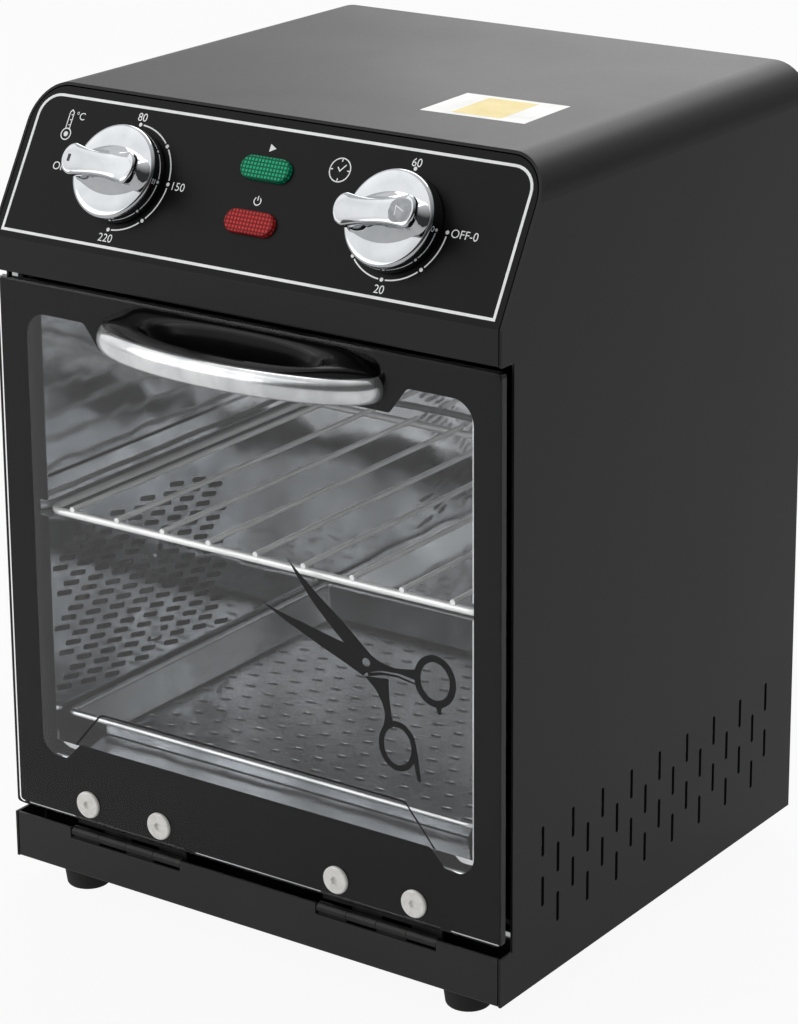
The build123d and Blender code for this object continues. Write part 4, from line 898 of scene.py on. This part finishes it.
# ---------------------------------------------------------------- control panel
@dataclass
class ControlPanel(SubAssembly):
    """The sloped front sheet with its screen print, lamps and dials."""

    knob_offset: float = 61.8
    knob_rise: float = 30.5
    scale_radius: float = 20.5
    line_width: float = 0.55
    dot_radius: float = 0.75
    border_half: float = 110.6
    border_low: float = 3.3
    border_high: float = 57.7
    border_radius: float = 9.0
    border_width: float = 1.1
    digit_height: float = 3.1
    dot_gap: float = 1.9
    sign_line: float = 0.45
    # Across and up: the thermometer's bulb and its tube's top, the clock and its radius, the
    # corners of the run sign, and the power sign's middle, its radius and its stroke's top.
    thermometer: tuple = (-94.9, 43.0, 51.6)
    clock: tuple = (30.9, 46.2, 4.4)
    run_sign: tuple = ((-1.5, 51.6), (-1.5, 48.6), (1.3, 50.1))
    power_sign: tuple = (0.0, 30.0, 1.5, 32.0)

    def finishes(self) -> dict[str, Finish]:
        """Names the finish of the panel and of the controls behind it.

        Returns:
            The finish of each of their nodes.
        """
        return {
            "front_fascia": PANEL_COAT, "run_lamp_lens": GREEN_LENS, "power_lamp_lens": RED_LENS,
            "run_lamp_body": RESIN, "power_lamp_body": RESIN, "thermostat_shaft": ZINC, "timer_shaft": ZINC,
            "thermostat_body": RESIN, "thermostat_bulb": COPPER, "thermostat_tube": COPPER,
            "timer_body": RESIN, "timer_bell": ZINC,
        }

    def plane(self) -> Plane:
        """Finds the sloped panel.

        Returns:
            Its plane, the origin at the middle of the slope's foot.
        """
        dial = joint_named("timer_turn")
        up = (-Vector(dial["axis"]).normalized()).cross(ACROSS)
        centre = Vector(dial["pos_m"])
        centre.x = 0.0
        return Plane(centre - up * self.knob_rise * MM, ACROSS, up)

    def build(self) -> None:
        """Builds the screen print."""
        art = Artwork(self.plane())
        self.draw_border(art)
        self.draw_temperature_dial(art)
        self.draw_timer_dial(art)
        self.draw_signs(art)
        settle(art.build("panel_print"), INK, Body.CABINET)

    def draw_border(self, art: Artwork) -> None:
        """Draws the frame line round the controls.

        Args:
            art: The artwork.
        """
        half, low, high = self.border_half, self.border_low, self.border_high
        upper = [(half, high, self.border_radius), (-half, high, self.border_radius)]
        corners = [(-half, low, 0.0), (half, low, 0.0)] + upper
        art.stroke(rounded(corners), self.border_width, closed=True)

    def draw_scale(self, art: Artwork, x: float, dots: list[float], start: float, end: float) -> None:
        """Draws a dial's arc, broken at its dots.

        Args:
            art: The artwork.
            x: The dial's centre across.
            dots: The dots' angles in degrees.
            start: The arc's first angle.
            end: The arc's last angle, lower than the first.
        """
        radius, y = self.scale_radius, self.knob_rise
        gap = degrees(self.dot_gap * self.dot_radius / radius)
        for angle in dots:
            point = art.arc(x, y, radius, angle, angle, 2)[0]
            art.disc(point.x, point.y, self.dot_radius)
        stops = [angle for angle in sorted(dots, reverse=True) if end <= angle <= start]
        for first, last in zip(stops, stops[1:]):
            art.stroke(art.arc(x, y, radius, first - gap, last + gap), self.line_width)

    def draw_temperature_dial(self, art: Artwork) -> None:
        """Draws the temperature dial's arc, dots and numbers.

        Args:
            art: The artwork.
        """
        x, y = -self.knob_offset, self.knob_rise
        self.draw_scale(art, x, [90.0, 43.0, 0.0, -47.0, -90.0], 90.0, -90.0)
        art.write("80", x, y + 23.4, self.digit_height)
        art.write("150", x + 21.8, y - 0.3, self.digit_height, Align.LEFT)
        art.write("220", x - 0.2, y - 23.7, self.digit_height)
        art.write("OFF", x - 34.6, y, self.digit_height, Align.LEFT)

    def draw_timer_dial(self, art: Artwork) -> None:
        """Draws the timer dial's arc, dots and numbers.

        Args:
            art: The artwork.
        """
        x, y = self.knob_offset, self.knob_rise
        self.draw_scale(art, x, [90.0, 0.0, -45.5, -91.0, -137.0], 0.0, -137.0)
        art.write("60", x, y + 22.8, self.digit_height)
        art.write("20", x - 0.2, y - 24.0, self.digit_height)
        art.write("OFF-0", x + 22.0, y, self.digit_height, Align.LEFT)

    def draw_signs(self, art: Artwork) -> None:
        """Draws the thermometer, the clock and the two lamps' signs.

        Args:
            art: The artwork.
        """
        self.draw_thermometer(art, *self.thermometer)
        self.draw_clock(art, *self.clock)
        art.fill(list(self.run_sign))
        x, y, radius, top = self.power_sign
        art.stroke(art.arc(x, y, radius, 125.0, 415.0, 28), self.sign_line)
        art.stroke([(x, y + 0.2), (x, top)], self.sign_line)

    def draw_thermometer(self, art: Artwork, x: float, low: float, high: float) -> None:
        """Draws the thermometer and its degree sign.

        Args:
            art: The artwork.
            x: Its middle across.
            low: The height of its bulb's middle.
            high: The height of its tube's shoulders.
        """
        art.ring(x, low, 2.2, self.sign_line)
        art.disc(x, low, 1.0)
        left, right, foot = x - 0.9, x + 0.9, low + 2.1
        art.stroke([(left, foot), (left, high), (x, high + 0.9), (right, high), (right, foot)], 0.4)
        for rise in (3.6, 5.6, 7.6):
            art.stroke([(x - 0.1, low + rise), (right, low + rise)], 0.35)
        art.write("°C", x + 2.2, 50.6, 3.0, Align.LEFT)

    def draw_clock(self, art: Artwork, x: float, y: float, radius: float) -> None:
        """Draws the clock's face with its four ticks and hands.

        Args:
            art: The artwork.
            x: Its middle across.
            y: The height of its middle.
            radius: Its radius.
        """
        art.ring(x, y, radius, self.sign_line)
        for angle in (0.0, 90.0, 180.0, 270.0):
            tick = [art.arc(x, y, r, angle, angle, 2)[0] for r in (radius, radius - 1.3)]
            art.stroke(tick, self.sign_line)
        art.stroke([(x - 1.2, y + 1.0), (x, y - 0.4), (x + 2.2, y + 2.2)], self.sign_line)


@dataclass
class Knob(SubAssembly):
    """A chrome dial: a round disc with a saddle-backed grip across it.

    Sizes are millimetres: u is along the grip, v across it and w out of the panel.
    """

    joint: str
    node: str
    body: Body
    tilt: float
    mark: list
    mark_width: float
    mark_finish: Finish
    field_reach: float = 0.0
    base_lift: float = 0.6
    disc_radius: float = 18.25
    disc_height: float = 8.0
    saddle_depth: float = 2.0
    saddle_reach: float = 16.8
    saddle_start: float = 12.0
    saddle_full: float = 15.0
    grip_height: float = 18.0
    corner_share: float = 0.74
    mark_lift: float = 0.08
    field_lift: float = 0.04
    field_half: float = 5.2
    field_half_width: float = 4.3
    field_power: float = 3.2
    steps: int = 96

    def plane(self) -> Plane:
        """Finds where the knob sits.

        Returns:
            The plane at its foot, turned with its grip.
        """
        dial = joint_named(self.joint)
        out = -Vector(dial["axis"]).normalized()
        turn = Matrix.Rotation(radians(self.tilt), 3, out)
        return Plane(Vector(dial["pos_m"]), turn @ ACROSS, turn @ out.cross(ACROSS))

    def build(self) -> None:
        """Builds the disc, the grip and the pointer mark."""
        plane = self.plane()
        vertices, faces = loft(self.disc_rings(plane))
        more_vertices, more_faces = loft(self.grip_rings(plane))
        faces += [tuple(len(vertices) + k for k in face) for face in more_faces]
        piece = make_piece(f"{self.node}_body", vertices + more_vertices, faces)
        settle(piece, CHROME, self.body, (self.node,))
        art = Artwork(plane)
        art.stroke(self.mark, self.mark_width)
        settle(self.laid(art, "mark", self.mark_lift), self.mark_finish, self.body)
        if self.field_reach:
            # The field's greyer chrome is painted shade standing in for the grip's flat end facet.
            patch = self.laid(self.field(plane), "field", self.field_lift)
            settle(patch, FACET_SHADE_CHROME, self.body)

    def disc_rings(self, plane: Plane) -> list[list[Vector]]:
        """Sweeps the disc's profile round its axis.

        Args:
            plane: The plane at the knob's foot.

        Returns:
            The disc's rings, from its foot to its face.
        """
        radius, high = self.disc_radius, self.disc_height
        profile = [
            (radius - 0.9, self.base_lift), (radius - 0.15, 0.9), (radius, 1.6), (radius, high - 1.6),
            (radius - 0.15, high - 0.8), (radius - 0.55, high - 0.25), (radius - 1.25, high),
            (radius - 5.0, high),
        ]
        turns = [tau * k / self.steps for k in range(self.steps)]
        return [[plane.point(r * cos(t), r * sin(t), w) for t in turns] for r, w in profile]

    def grip_rings(self, plane: Plane) -> list[list[Vector]]:
        """Stacks the grip's outlines and sinks its top to a saddle.

        Args:
            plane: The plane at the knob's foot.

        Returns:
            The grip's rings, from inside the disc to the ridge of its top.
        """
        # Height, half length, and half width at the waist and towards the ends.
        levels = [
            (7.6, 17.4, 9.8, 6.4), (8.1, 17.2, 9.4, 6.0), (8.8, 16.6, 8.0, 5.4), (10.0, 15.0, 6.6, 4.9),
            (11.5, 13.9, 5.2, 4.5), (13.0, 13.6, 4.5, 4.5), (14.0, 15.5, 4.3, 5.4), (15.0, 16.6, 4.5, 6.1),
            (16.5, 16.8, 4.5, 6.1), (17.4, 16.7, 4.4, 6.0), (17.8, 16.4, 4.1, 5.7), (18.0, 16.0, 3.7, 5.3),
            (18.0, 15.8, 2.0, 3.2), (18.0, 15.7, 0.6, 1.0),
        ]
        rings = []
        for w, reach, waist, end in levels:
            ring = []
            for u, v in self.grip_outline(reach, waist, end):
                sink = self.saddle_depth * max(1.0 - (u / self.saddle_reach) ** 2, 0.0)
                share = (w - self.saddle_start) / (self.saddle_full - self.saddle_start)
                ring.append(plane.point(u, v, w - sink * min(max(share, 0.0), 1.0)))
            rings.append(ring)
        return rings

    def grip_outline(self, reach: float, waist: float, end: float) -> list[tuple[float, float]]:
        """Draws the grip at one height: a waist, wider ends and round corners.

        Args:
            reach: Its half length.
            waist: Its half width at the middle.
            end: Its half width where the corners start.

        Returns:
            The outline's points, along and across the grip.
        """
        corner = self.corner_share * reach
        points = []
        for k in range(self.steps):
            t = tau * k / self.steps
            u = reach * sin(t)
            if abs(u) <= corner:
                v = waist + (end - waist) * (u / corner) ** 2
            else:
                v = end * sqrt(max(1.0 - ((abs(u) - corner) / (reach - corner)) ** 2, 0.0))
            points.append((u, copysign(v, cos(t))))
        return points

    def field(self, plane: Plane) -> Artwork:
        """Cuts the field of painted facet shade round the pointer mark into strips that can follow the
        saddle.

        Args:
            plane: The plane at the knob's foot.

        Returns:
            The field as flat artwork.
        """
        art = Artwork(plane)
        strips, half = 16, self.field_half
        middle = self.field_reach - half
        for k in range(strips):
            edges = []
            for u in (middle - half + 2 * half * k / strips, middle - half + 2 * half * (k + 1) / strips):
                share = min(abs(u - middle) / half, 1.0)
                v = self.field_half_width * sqrt(max(1.0 - share**self.field_power, 0.0))
                edges += [(u, v), (u, -v)]
            first = len(art.vertices)
            art.vertices += [Vector(edge) for edge in edges]
            art.faces.append((first, first + 1, first + 3, first + 2))
        return art

    def laid(self, art: Artwork, kind: str, lift: float) -> Object:
        """Lays flat artwork on the saddle of the grip.

        Args:
            art: The artwork.
            kind: What it is, for the piece's name.
            lift: Its height over the saddle.

        Returns:
            The mesh object.
        """
        points = []
        for u, v in art.vertices:
            sink = self.saddle_depth * (1.0 - (u / self.saddle_reach) ** 2)
            points.append(art.plane.point(u, v, self.grip_height - sink + lift))
        return make_piece(f"{self.node}_{kind}", points, art.faces, smooth=False)


# ---------------------------------------------------------------- door
def bulged(value: float, power: float) -> float:
    """Returns a sine or cosine raised to a power, its sign kept, which swells a round outline."""
    return copysign(abs(value) ** power, value)


@dataclass
class Handle(SubAssembly):
    """The bowed chrome bar and the moulded scoop behind it.

    Sizes are millimetres from the door's face and from the case's underside.
    """

    centre: float = 1.5
    half_length: float = 63.5
    reach: float = 22.78
    bar_half_height: float = 5.0
    bar_front: float = 3.7
    bar_back: float = 2.2
    bar_rise: float = 224.5
    scoop_half_length: float = 61.2
    scoop_reach: float = 19.2
    scoop_low: float = 220.2
    scoop_front_rise: float = 229.2
    scoop_back_rise: float = 237.6
    end_fall: float = 6.5
    end_start: float = 42.0
    pocket_half_length: float = 40.0
    pocket_middle: float = 3.0
    pocket_round: float = 0.78
    pocket_half_width: float = 6.2
    pocket_out: float = 8.6
    bar_round_out: float = 0.9
    bar_round_up: float = 0.92
    bar_steps: int = 40
    steps: int = 112

    def origin(self) -> Vector:
        """Returns the middle of the handle's foot on the glass."""
        return Vector((self.centre * MM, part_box("door_glass")[0].y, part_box("base_pan")[0].z))

    def build(self) -> None:
        """Builds the bar and the scoop."""
        vertices, faces = loft(self.bar_rings())
        bar = make_piece("handle_bow_bar", vertices, faces)
        settle(bar, BAR_CHROME, Body.DOOR, ("handle_bar",))
        vertices, faces = loft(self.scoop_rings())
        scoop = make_piece("handle_scoop", vertices, faces)
        settle(scoop, GLOSS_ABS, Body.DOOR, ("handle_base",))

    def bar_rings(self) -> list[list[Vector]]:
        """Sweeps the bar's section along the bow.

        Returns:
            The bar's sections, from its left foot to its right foot.
        """
        origin = self.origin()
        along, out = self.half_length - self.bar_front, self.reach - self.bar_front
        rings = []
        for k in range(self.steps + 1):
            t = pi * k / self.steps
            normal = Vector((-cos(t) / along, -sin(t) / out)).normalized()
            ring = []
            for j in range(self.bar_steps):
                turn = tau * j / self.bar_steps
                depth = self.bar_front if cos(turn) > 0 else self.bar_back
                off = depth * bulged(cos(turn), self.bar_round_out)
                x = -along * cos(t) + normal.x * off
                y = -out * sin(t) + normal.y * off
                z = self.bar_rise + self.bar_half_height * bulged(sin(turn), self.bar_round_up)
                ring.append(origin + Vector((x, min(y, 0.0), z)) * MM)
            rings.append(ring)
        return rings

    def top(self, x: float, y: float) -> float:
        """Works out the scoop's slanted top, which falls off towards its ends.

        Args:
            x: The place across, from the handle's middle.
            y: The place behind the door's face, negative in front of it.

        Returns:
            The top's height.
        """
        slant = (y + self.scoop_reach) / self.scoop_reach
        rise = self.scoop_front_rise + (self.scoop_back_rise - self.scoop_front_rise) * slant
        past = max(abs(x) - self.end_start, 0.0) / (self.scoop_half_length - self.end_start)
        return rise - self.end_fall * past**2 * max(slant, 0.0)

    def scoop_rings(self) -> list[list[Vector]]:
        """Blends the pocket's outline into the scoop's.

        Returns:
            The scoop's rings, from the pocket's floor over its rim and down its sides.
        """
        origin = self.origin()
        turns = [tau * k / self.steps for k in range(self.steps)]

        def pocket(turn: float, share: float) -> Vector:
            """Finds a point on the pocket's outline, drawn in to a share of its size.

            Args:
                turn: The point's angle.
                share: The share.

            Returns:
                Its place across and behind the door's face.
            """
            across, out = (bulged(c, self.pocket_round) for c in (cos(turn), sin(turn)))
            x = self.pocket_middle + self.pocket_half_length * share * across
            return Vector((x, self.pocket_half_width * share * out - self.pocket_out))

        def edge(turn: float) -> Vector:
            """Returns a point on the scoop's outer outline."""
            x = self.scoop_half_length * cos(turn)
            return Vector((x, min(self.scoop_reach * sin(turn), 0.0)))

        def ring(places: list[Vector], drop: float) -> list[Vector]:
            """Returns a ring that lies a drop under the slanted top."""
            return [origin + Vector((p.x, p.y, self.top(p.x, p.y) - drop)) * MM for p in places]

        # Share of the pocket's size, then of the way to the outer edge, each with its drop.
        bowl = [(0.05, 13.6), (0.45, 13.2), (0.7, 11.6), (0.84, 8.6), (0.92, 5.0), (0.97, 2.2), (1.0, 0.8)]
        rings = [ring([pocket(t, share) for t in turns], drop) for share, drop in bowl]
        shoulder = [(0.06, 0.3), (0.14, 0.05), (0.35, 0.0), (0.7, 0.0), (0.9, 0.15), (0.97, 0.5), (1.0, 1.3)]
        for share, drop in shoulder:
            rings.append(ring([pocket(t, 1.0).lerp(edge(t), share) for t in turns], drop))
        foot = [origin + Vector((p.x, p.y, self.scoop_low)) * MM for p in map(edge, turns)]
        return rings + [foot]


@dataclass
class Door(SubAssembly):
    """The drop-down glass door with its fired print and the hardware behind it."""

    clear_edge: float = 0.3
    corner_radius: float = 1.5
    line_width: float = 0.8
    tab_half_low: float = 84.5
    tab_half_high: float = 71.5
    tab_high: float = 69.0
    tab_low: float = 53.6
    tab_radius: float = 4.0

    def finishes(self) -> dict[str, Finish]:
        """Returns the finish of each node of the door."""
        hardware = {"handle_screws": ZINC, "strike_plate": ZINC, "door_magnet": FERRITE}
        return {"door_glass": DOOR_GLASS, **hardware}

    def plane(self) -> Plane:
        """Returns the back of the glass, its origin at the height of the case's underside."""
        origin = Vector((0.0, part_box("door_glass")[1].y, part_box("base_pan")[0].z))
        return Plane(origin, ACROSS, UPWARD)

    def window(self) -> list[Vector]:
        """Draws the clear window in the print, the same on both sides.

        Returns:
            The window's outline.
        """
        right = [
            (82.5, 54.0, 3.0), (89.5, 46.5, 5.0), (101.5, 46.5, 8.0), (101.5, 226.0, 9.0),
            (73.5, 226.0, 3.0), (65.8, 215.8, 2.0),
        ]
        return rounded(right + [(-x, z, radius) for x, z, radius in reversed(right)])

    def build(self) -> None:
        """Builds the fired print, which lies in the back skin of the glass."""
        art = Artwork(self.plane())
        low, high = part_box("door_glass")
        half = high.x / MM - self.clear_edge
        bottom = (low.z - art.plane.origin.z) / MM + self.clear_edge
        top = (high.z - art.plane.origin.z) / MM - self.clear_edge
        sides = ((-half, bottom), (half, bottom), (half, top), (-half, top))
        art.fill(rounded([(*side, self.corner_radius) for side in sides]), self.window())
        self.draw_tab(art)
        self.draw_scissors(art)
        settle(art.build("door_print"), FRIT, Body.DOOR)

    def draw_tab(self, art: Artwork) -> None:
        """Draws the line round the blank tab over the window's lower edge.

        Args:
            art: The artwork.
        """
        low, high, radius = self.tab_half_low, self.tab_half_high, self.tab_radius
        upper = [(-high, self.tab_high, radius), (high, self.tab_high, radius)]
        corners = [(-low, self.tab_low, 0.0), *upper, (low, self.tab_low, 0.0)]
        art.stroke(rounded(corners), self.line_width)

    def draw_scissors(self, art: Artwork) -> None:
        """Draws the open pair of scissors as a plain sign, from blades and shanks to the finger rings.

        Args:
            art: The artwork.
        """
        pivot = art.arc(54.8, 119.4, 1.7, 0.0, 345.0, 24)
        shank = [(55.0, 115.6), (61.9, 117.7), (69.4, 118.3), (76.8, 117.4), (77.6, 121.8), (73.2, 120.8)]
        blade = [(67.9, 120.0), (61.9, 120.6), (57.4, 122.4), (50.6, 128.0), (43.9, 133.4), (34.1, 140.4)]
        tip = [(25.9, 146.9), (19.5, 152.5), (24.4, 145.8), (30.7, 138.0), (37.9, 131.1), (45.0, 124.9)]
        art.fill(shank + blade + tip + [(49.5, 119.4)], pivot)
        lower = [(8.5, 132.6), (16.0, 128.8), (24.3, 125.4), (35.6, 120.8), (45.3, 117.2), (53.2, 114.0)]
        back = [(55.0, 115.6), (49.5, 119.4), (45.0, 124.9), (35.6, 126.7), (26.6, 128.6), (16.8, 130.5)]
        art.fill(lower + back)
        left = [(54.0, 114.0), (59.0, 109.8), (61.9, 105.0), (63.0, 101.0), (62.2, 96.6), (66.8, 97.4)]
        right = [(65.7, 102.0), (64.8, 108.4), (64.6, 115.2)]
        art.fill(left + right)
        art.stroke([(55.5, 114.9), (62.0, 116.7), (68.5, 117.1), (77.0, 115.8)], [1.6, 0.9, 0.8, 0.6])
        art.stroke(self.bent_ring(84.9, 118.9, 7.7, 8.6), 2.7, closed=True)
        art.stroke([(86.4, 110.6), (86.8, 106.6)], [3.2, 1.3])
        art.stroke(self.bent_ring(68.4, 90.0, 7.2, 8.5), 2.3, closed=True)
        art.stroke([(75.3, 92.4), (76.4, 86.4), (77.9, 78.4)], [2.2, 2.4, 1.3])

    @staticmethod
    def bent_ring(x: float, y: float, half_width: float, half_height: float, steps: int = 48) -> list[Vector]:
        """Returns the centre line of an oval finger ring."""
        turns = (tau * k / steps for k in range(steps))
        return [Vector((x + half_width * cos(t), y + half_height * sin(t))) for t in turns]


# ---------------------------------------------------------------- chamber
@dataclass
class Chamber(SubAssembly):
    """The stainless chamber with its heaters, wire rack and tray."""

    def finishes(self) -> dict[str, Finish]:
        """Names the finish of the chamber, its heaters, rack and tray.

        Returns:
            The finish of each of their nodes.
        """
        sides = ("right_wall", "left_wall", "back_wall", "floor", "ceiling")
        return {
            **{f"chamber_{side}": LINER for side in sides}, "front_frame": LINER, "heater_saddles": LINER,
            "heat_deflector": SHIELD, "heat_shield_left": SHIELD, "heat_shield_right": SHIELD,
            "heater_left": SHEATH, "heater_right": SHEATH, "heater_bushes": ALUMINA,
            "heater_terminals": ZINC, "thermal_cutout": ZINC, "wire_rack": WIRE, "tray": TRAY_STEEL,
        }


# ---------------------------------------------------------------- studio
def seen_directly(tree: NodeTree, ray: Node) -> Node:
    """Adds the test for a ray that the camera sends, also through glass.

    Args:
        tree: The node tree.
        ray: Its Light Path node.

    Returns:
        The node that gives 1 for such a ray.
    """
    kinds = {0: ray.outputs["Is Camera Ray"], 1: ray.outputs["Is Transmission Ray"]}
    return add(tree, "ShaderNodeMath", {"operation": "MAXIMUM"}, kinds)


@dataclass(frozen=True)
class FloorFinish(Finish):
    """A plain pale floor that is seen nearly white, with its shadows kept."""

    lift: float = 0.93
    mirror_share: float = 0.4

    def surface(self, layers: Layers) -> Node:
        """Mixes white in for what the camera, glass and metal see.

        Args:
            layers: The material's nodes so far.

        Returns:
            The node that the material's output takes.
        """
        tree, kind = layers.tree, "ShaderNodeMath"
        ray = add(tree, "ShaderNodeLightPath")
        white = add(tree, "ShaderNodeEmission", {"Color": WHITE})
        dimmed = {"operation": "MULTIPLY", 1: self.mirror_share}
        mirrored = add(tree, kind, dimmed, {0: ray.outputs["Is Glossy Ray"]})
        either = add(tree, kind, {"operation": "MAXIMUM"}, {0: seen_directly(tree, ray), 1: mirrored})
        share = add(tree, kind, {"operation": "MULTIPLY", 1: self.lift}, {0: either})
        return add(tree, "ShaderNodeMixShader", {}, {0: share, 1: layers.shader, 2: white})


# Matt laminate table top, seen white by the camera.
FLOOR = FloorFinish("Matt white laminate", "#bdbdbd", 0.7, grain=2.0, grain_depth=0.004, patch=400.0)


@dataclass
class Studio:
    """The floor, the soft light and the camera."""

    floor_radius: float = 7.0
    azimuth: float = 34.744
    elevation: float = 16.874
    roll: float = -0.245
    stand: tuple = (0.7242, -1.02016, 0.59095)
    focal_pixels: float = 3400.3
    view_centre: tuple = (430.0, 358.0)
    image: tuple = (798, 1024)
    sensor: float = 36.0
    clip: tuple = (0.05, 30.0)
    aim: tuple = (0.0, 0.0, 0.16)
    bright_side: tuple = (-0.55, 0.45, 0.70)
    fill: float = 0.58
    mirror_span: tuple = (-0.2, 0.8)
    mirror_strength: tuple = (0.05, 0.95)
    # Each softbox's name, place, width, height and power, in metres and watts.
    lamps: tuple = (
        ("Front softbox", (-1.15, -1.35, 1.25), 1.9, 1.7, 8.0),
        ("Left softbox", (-1.35, -1.75, 0.62), 1.5, 0.9, 5.0),
        ("Top softbox", (-0.35, 0.9, 1.65), 1.5, 1.0, 13.0),
        ("Back softbox", (-0.62, 2.0, 0.95), 1.4, 0.8, 5.7),
    )

    def build(self) -> None:
        """Builds the floor, the world, the lamps and the camera."""
        self.build_floor()
        self.build_world()
        for lamp in self.lamps:
            self.lamp(*lamp)
        self.build_camera()
        bpy.context.scene.view_settings.view_transform = "Standard"

    def build_floor(self) -> None:
        """Builds the round floor as one disc."""
        steps, radius = 96, self.floor_radius
        turns = (tau * k / steps for k in range(steps))
        rim = [Vector((radius * cos(t), radius * sin(t), 0.0)) for t in turns]
        floor = make_piece("studio_floor", rim, [tuple(range(steps))], smooth=False)
        if floor.data.polygons[0].normal.z < 0:
            floor.data.flip_normals()
        floor.data.materials.append(FLOOR.build())

    def build_world(self) -> None:
        """Builds a white room for what the camera, metal and glass see, and a soft fill."""
        world = bpy.data.worlds.new("Soft room")
        bpy.context.scene.world = world
        world.use_nodes = True
        tree = world.node_tree
        tree.nodes.clear()
        ray = add(tree, "ShaderNodeLightPath")
        place = add(tree, "ShaderNodeTexCoord").outputs["Generated"]
        side = {"operation": "DOT_PRODUCT", 1: Vector(self.bright_side)}
        facing = add(tree, "ShaderNodeVectorMath", side, {0: place}).outputs["Value"]
        names = ("From Min", "From Max", "To Min", "To Max")
        span = dict(zip(names, self.mirror_span + self.mirror_strength))
        shade = add(tree, "ShaderNodeMapRange", span, {"Value": facing})
        fill = add(tree, "ShaderNodeBackground", {"Color": WHITE, "Strength": self.fill})
        mirror = add(tree, "ShaderNodeBackground", {"Color": WHITE}, {"Strength": shade})
        white = add(tree, "ShaderNodeBackground", {"Color": WHITE, "Strength": 1.0})
        glossy = add(tree, "ShaderNodeMixShader", {}, {0: ray.outputs["Is Glossy Ray"], 1: fill, 2: mirror})
        both = add(tree, "ShaderNodeMixShader", {}, {0: seen_directly(tree, ray), 1: glossy, 2: white})
        add(tree, "ShaderNodeOutputWorld", {}, {"Surface": both})

    def lamp(self, name: str, place: tuple, width: float, height: float, power: float) -> None:
        """Adds one softbox that faces the middle of the part.

        Args:
            name: The lamp's name.
            place: Where it stands, in metres.
            width: Its width in metres.
            height: Its height in metres.
            power: Its power in watts.
        """
        light = bpy.data.lights.new(name, "AREA")
        light.shape = "RECTANGLE"
        light.size, light.size_y, light.energy = width, height, power
        lamp = bpy.data.objects.new(name, light)
        lamp.location = place
        aim = Vector(self.aim) - Vector(place)
        lamp.rotation_euler = aim.to_track_quat("-Z", "Y").to_euler()
        bpy.context.scene.collection.objects.link(lamp)

    def build_camera(self) -> None:
        """Stands the camera where the photograph was taken from."""
        a, e, r = (radians(v) for v in (self.azimuth, self.elevation, self.roll))
        back = Vector((sin(a) * cos(e), -cos(a) * cos(e), sin(e)))
        level = Vector((cos(a), sin(a), 0.0))
        raised = back.cross(level)
        right = level * cos(r) + raised * sin(r)
        up = raised * cos(r) - level * sin(r)
        turn = Matrix((right, up, back)).transposed().to_4x4()
        camera = bpy.data.objects.new("Camera", bpy.data.cameras.new("Camera"))
        camera.matrix_world = Matrix.Translation(self.stand) @ turn
        width, height = self.image
        camera.data.sensor_width = self.sensor
        camera.data.lens = self.focal_pixels * self.sensor / height
        camera.data.shift_x = (width / 2 - self.view_centre[0]) / height
        camera.data.shift_y = (self.view_centre[1] - height / 2) / height
        camera.data.clip_start, camera.data.clip_end = self.clip
        bpy.context.scene.collection.objects.link(camera)
        bpy.context.scene.camera = camera


def main() -> None:
    """Builds each sub-assembly in order."""
    logging.basicConfig(level=logging.INFO, format="%(message)s")
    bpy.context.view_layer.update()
    Studio().build()
    slot_mark = [(-13.6, -1.4), (-13.6, 1.4)]
    arrow_mark = [(8.3, -1.7), (8.3, 1.8), (12.0, -0.4)]
    dials = (
        # The slot mark's grey is painted shade of the knob's slot groove.
        Knob("temperature_turn", "temperature_knob", Body.TEMPERATURE, 0.0, slot_mark, 1.1, SLOT_SHADE),
        Knob("timer_turn", "timer_knob", Body.TIMER, 6.5, arrow_mark, 0.4, INK, 15.6),
    )
    for part in (Cabinet(), ControlPanel(), *dials, Handle(), Door(), Chamber()):
        part.dress()
        part.build()
        log.info("%s is done", type(part).__name__)


if __name__ == "__main__":
    main()
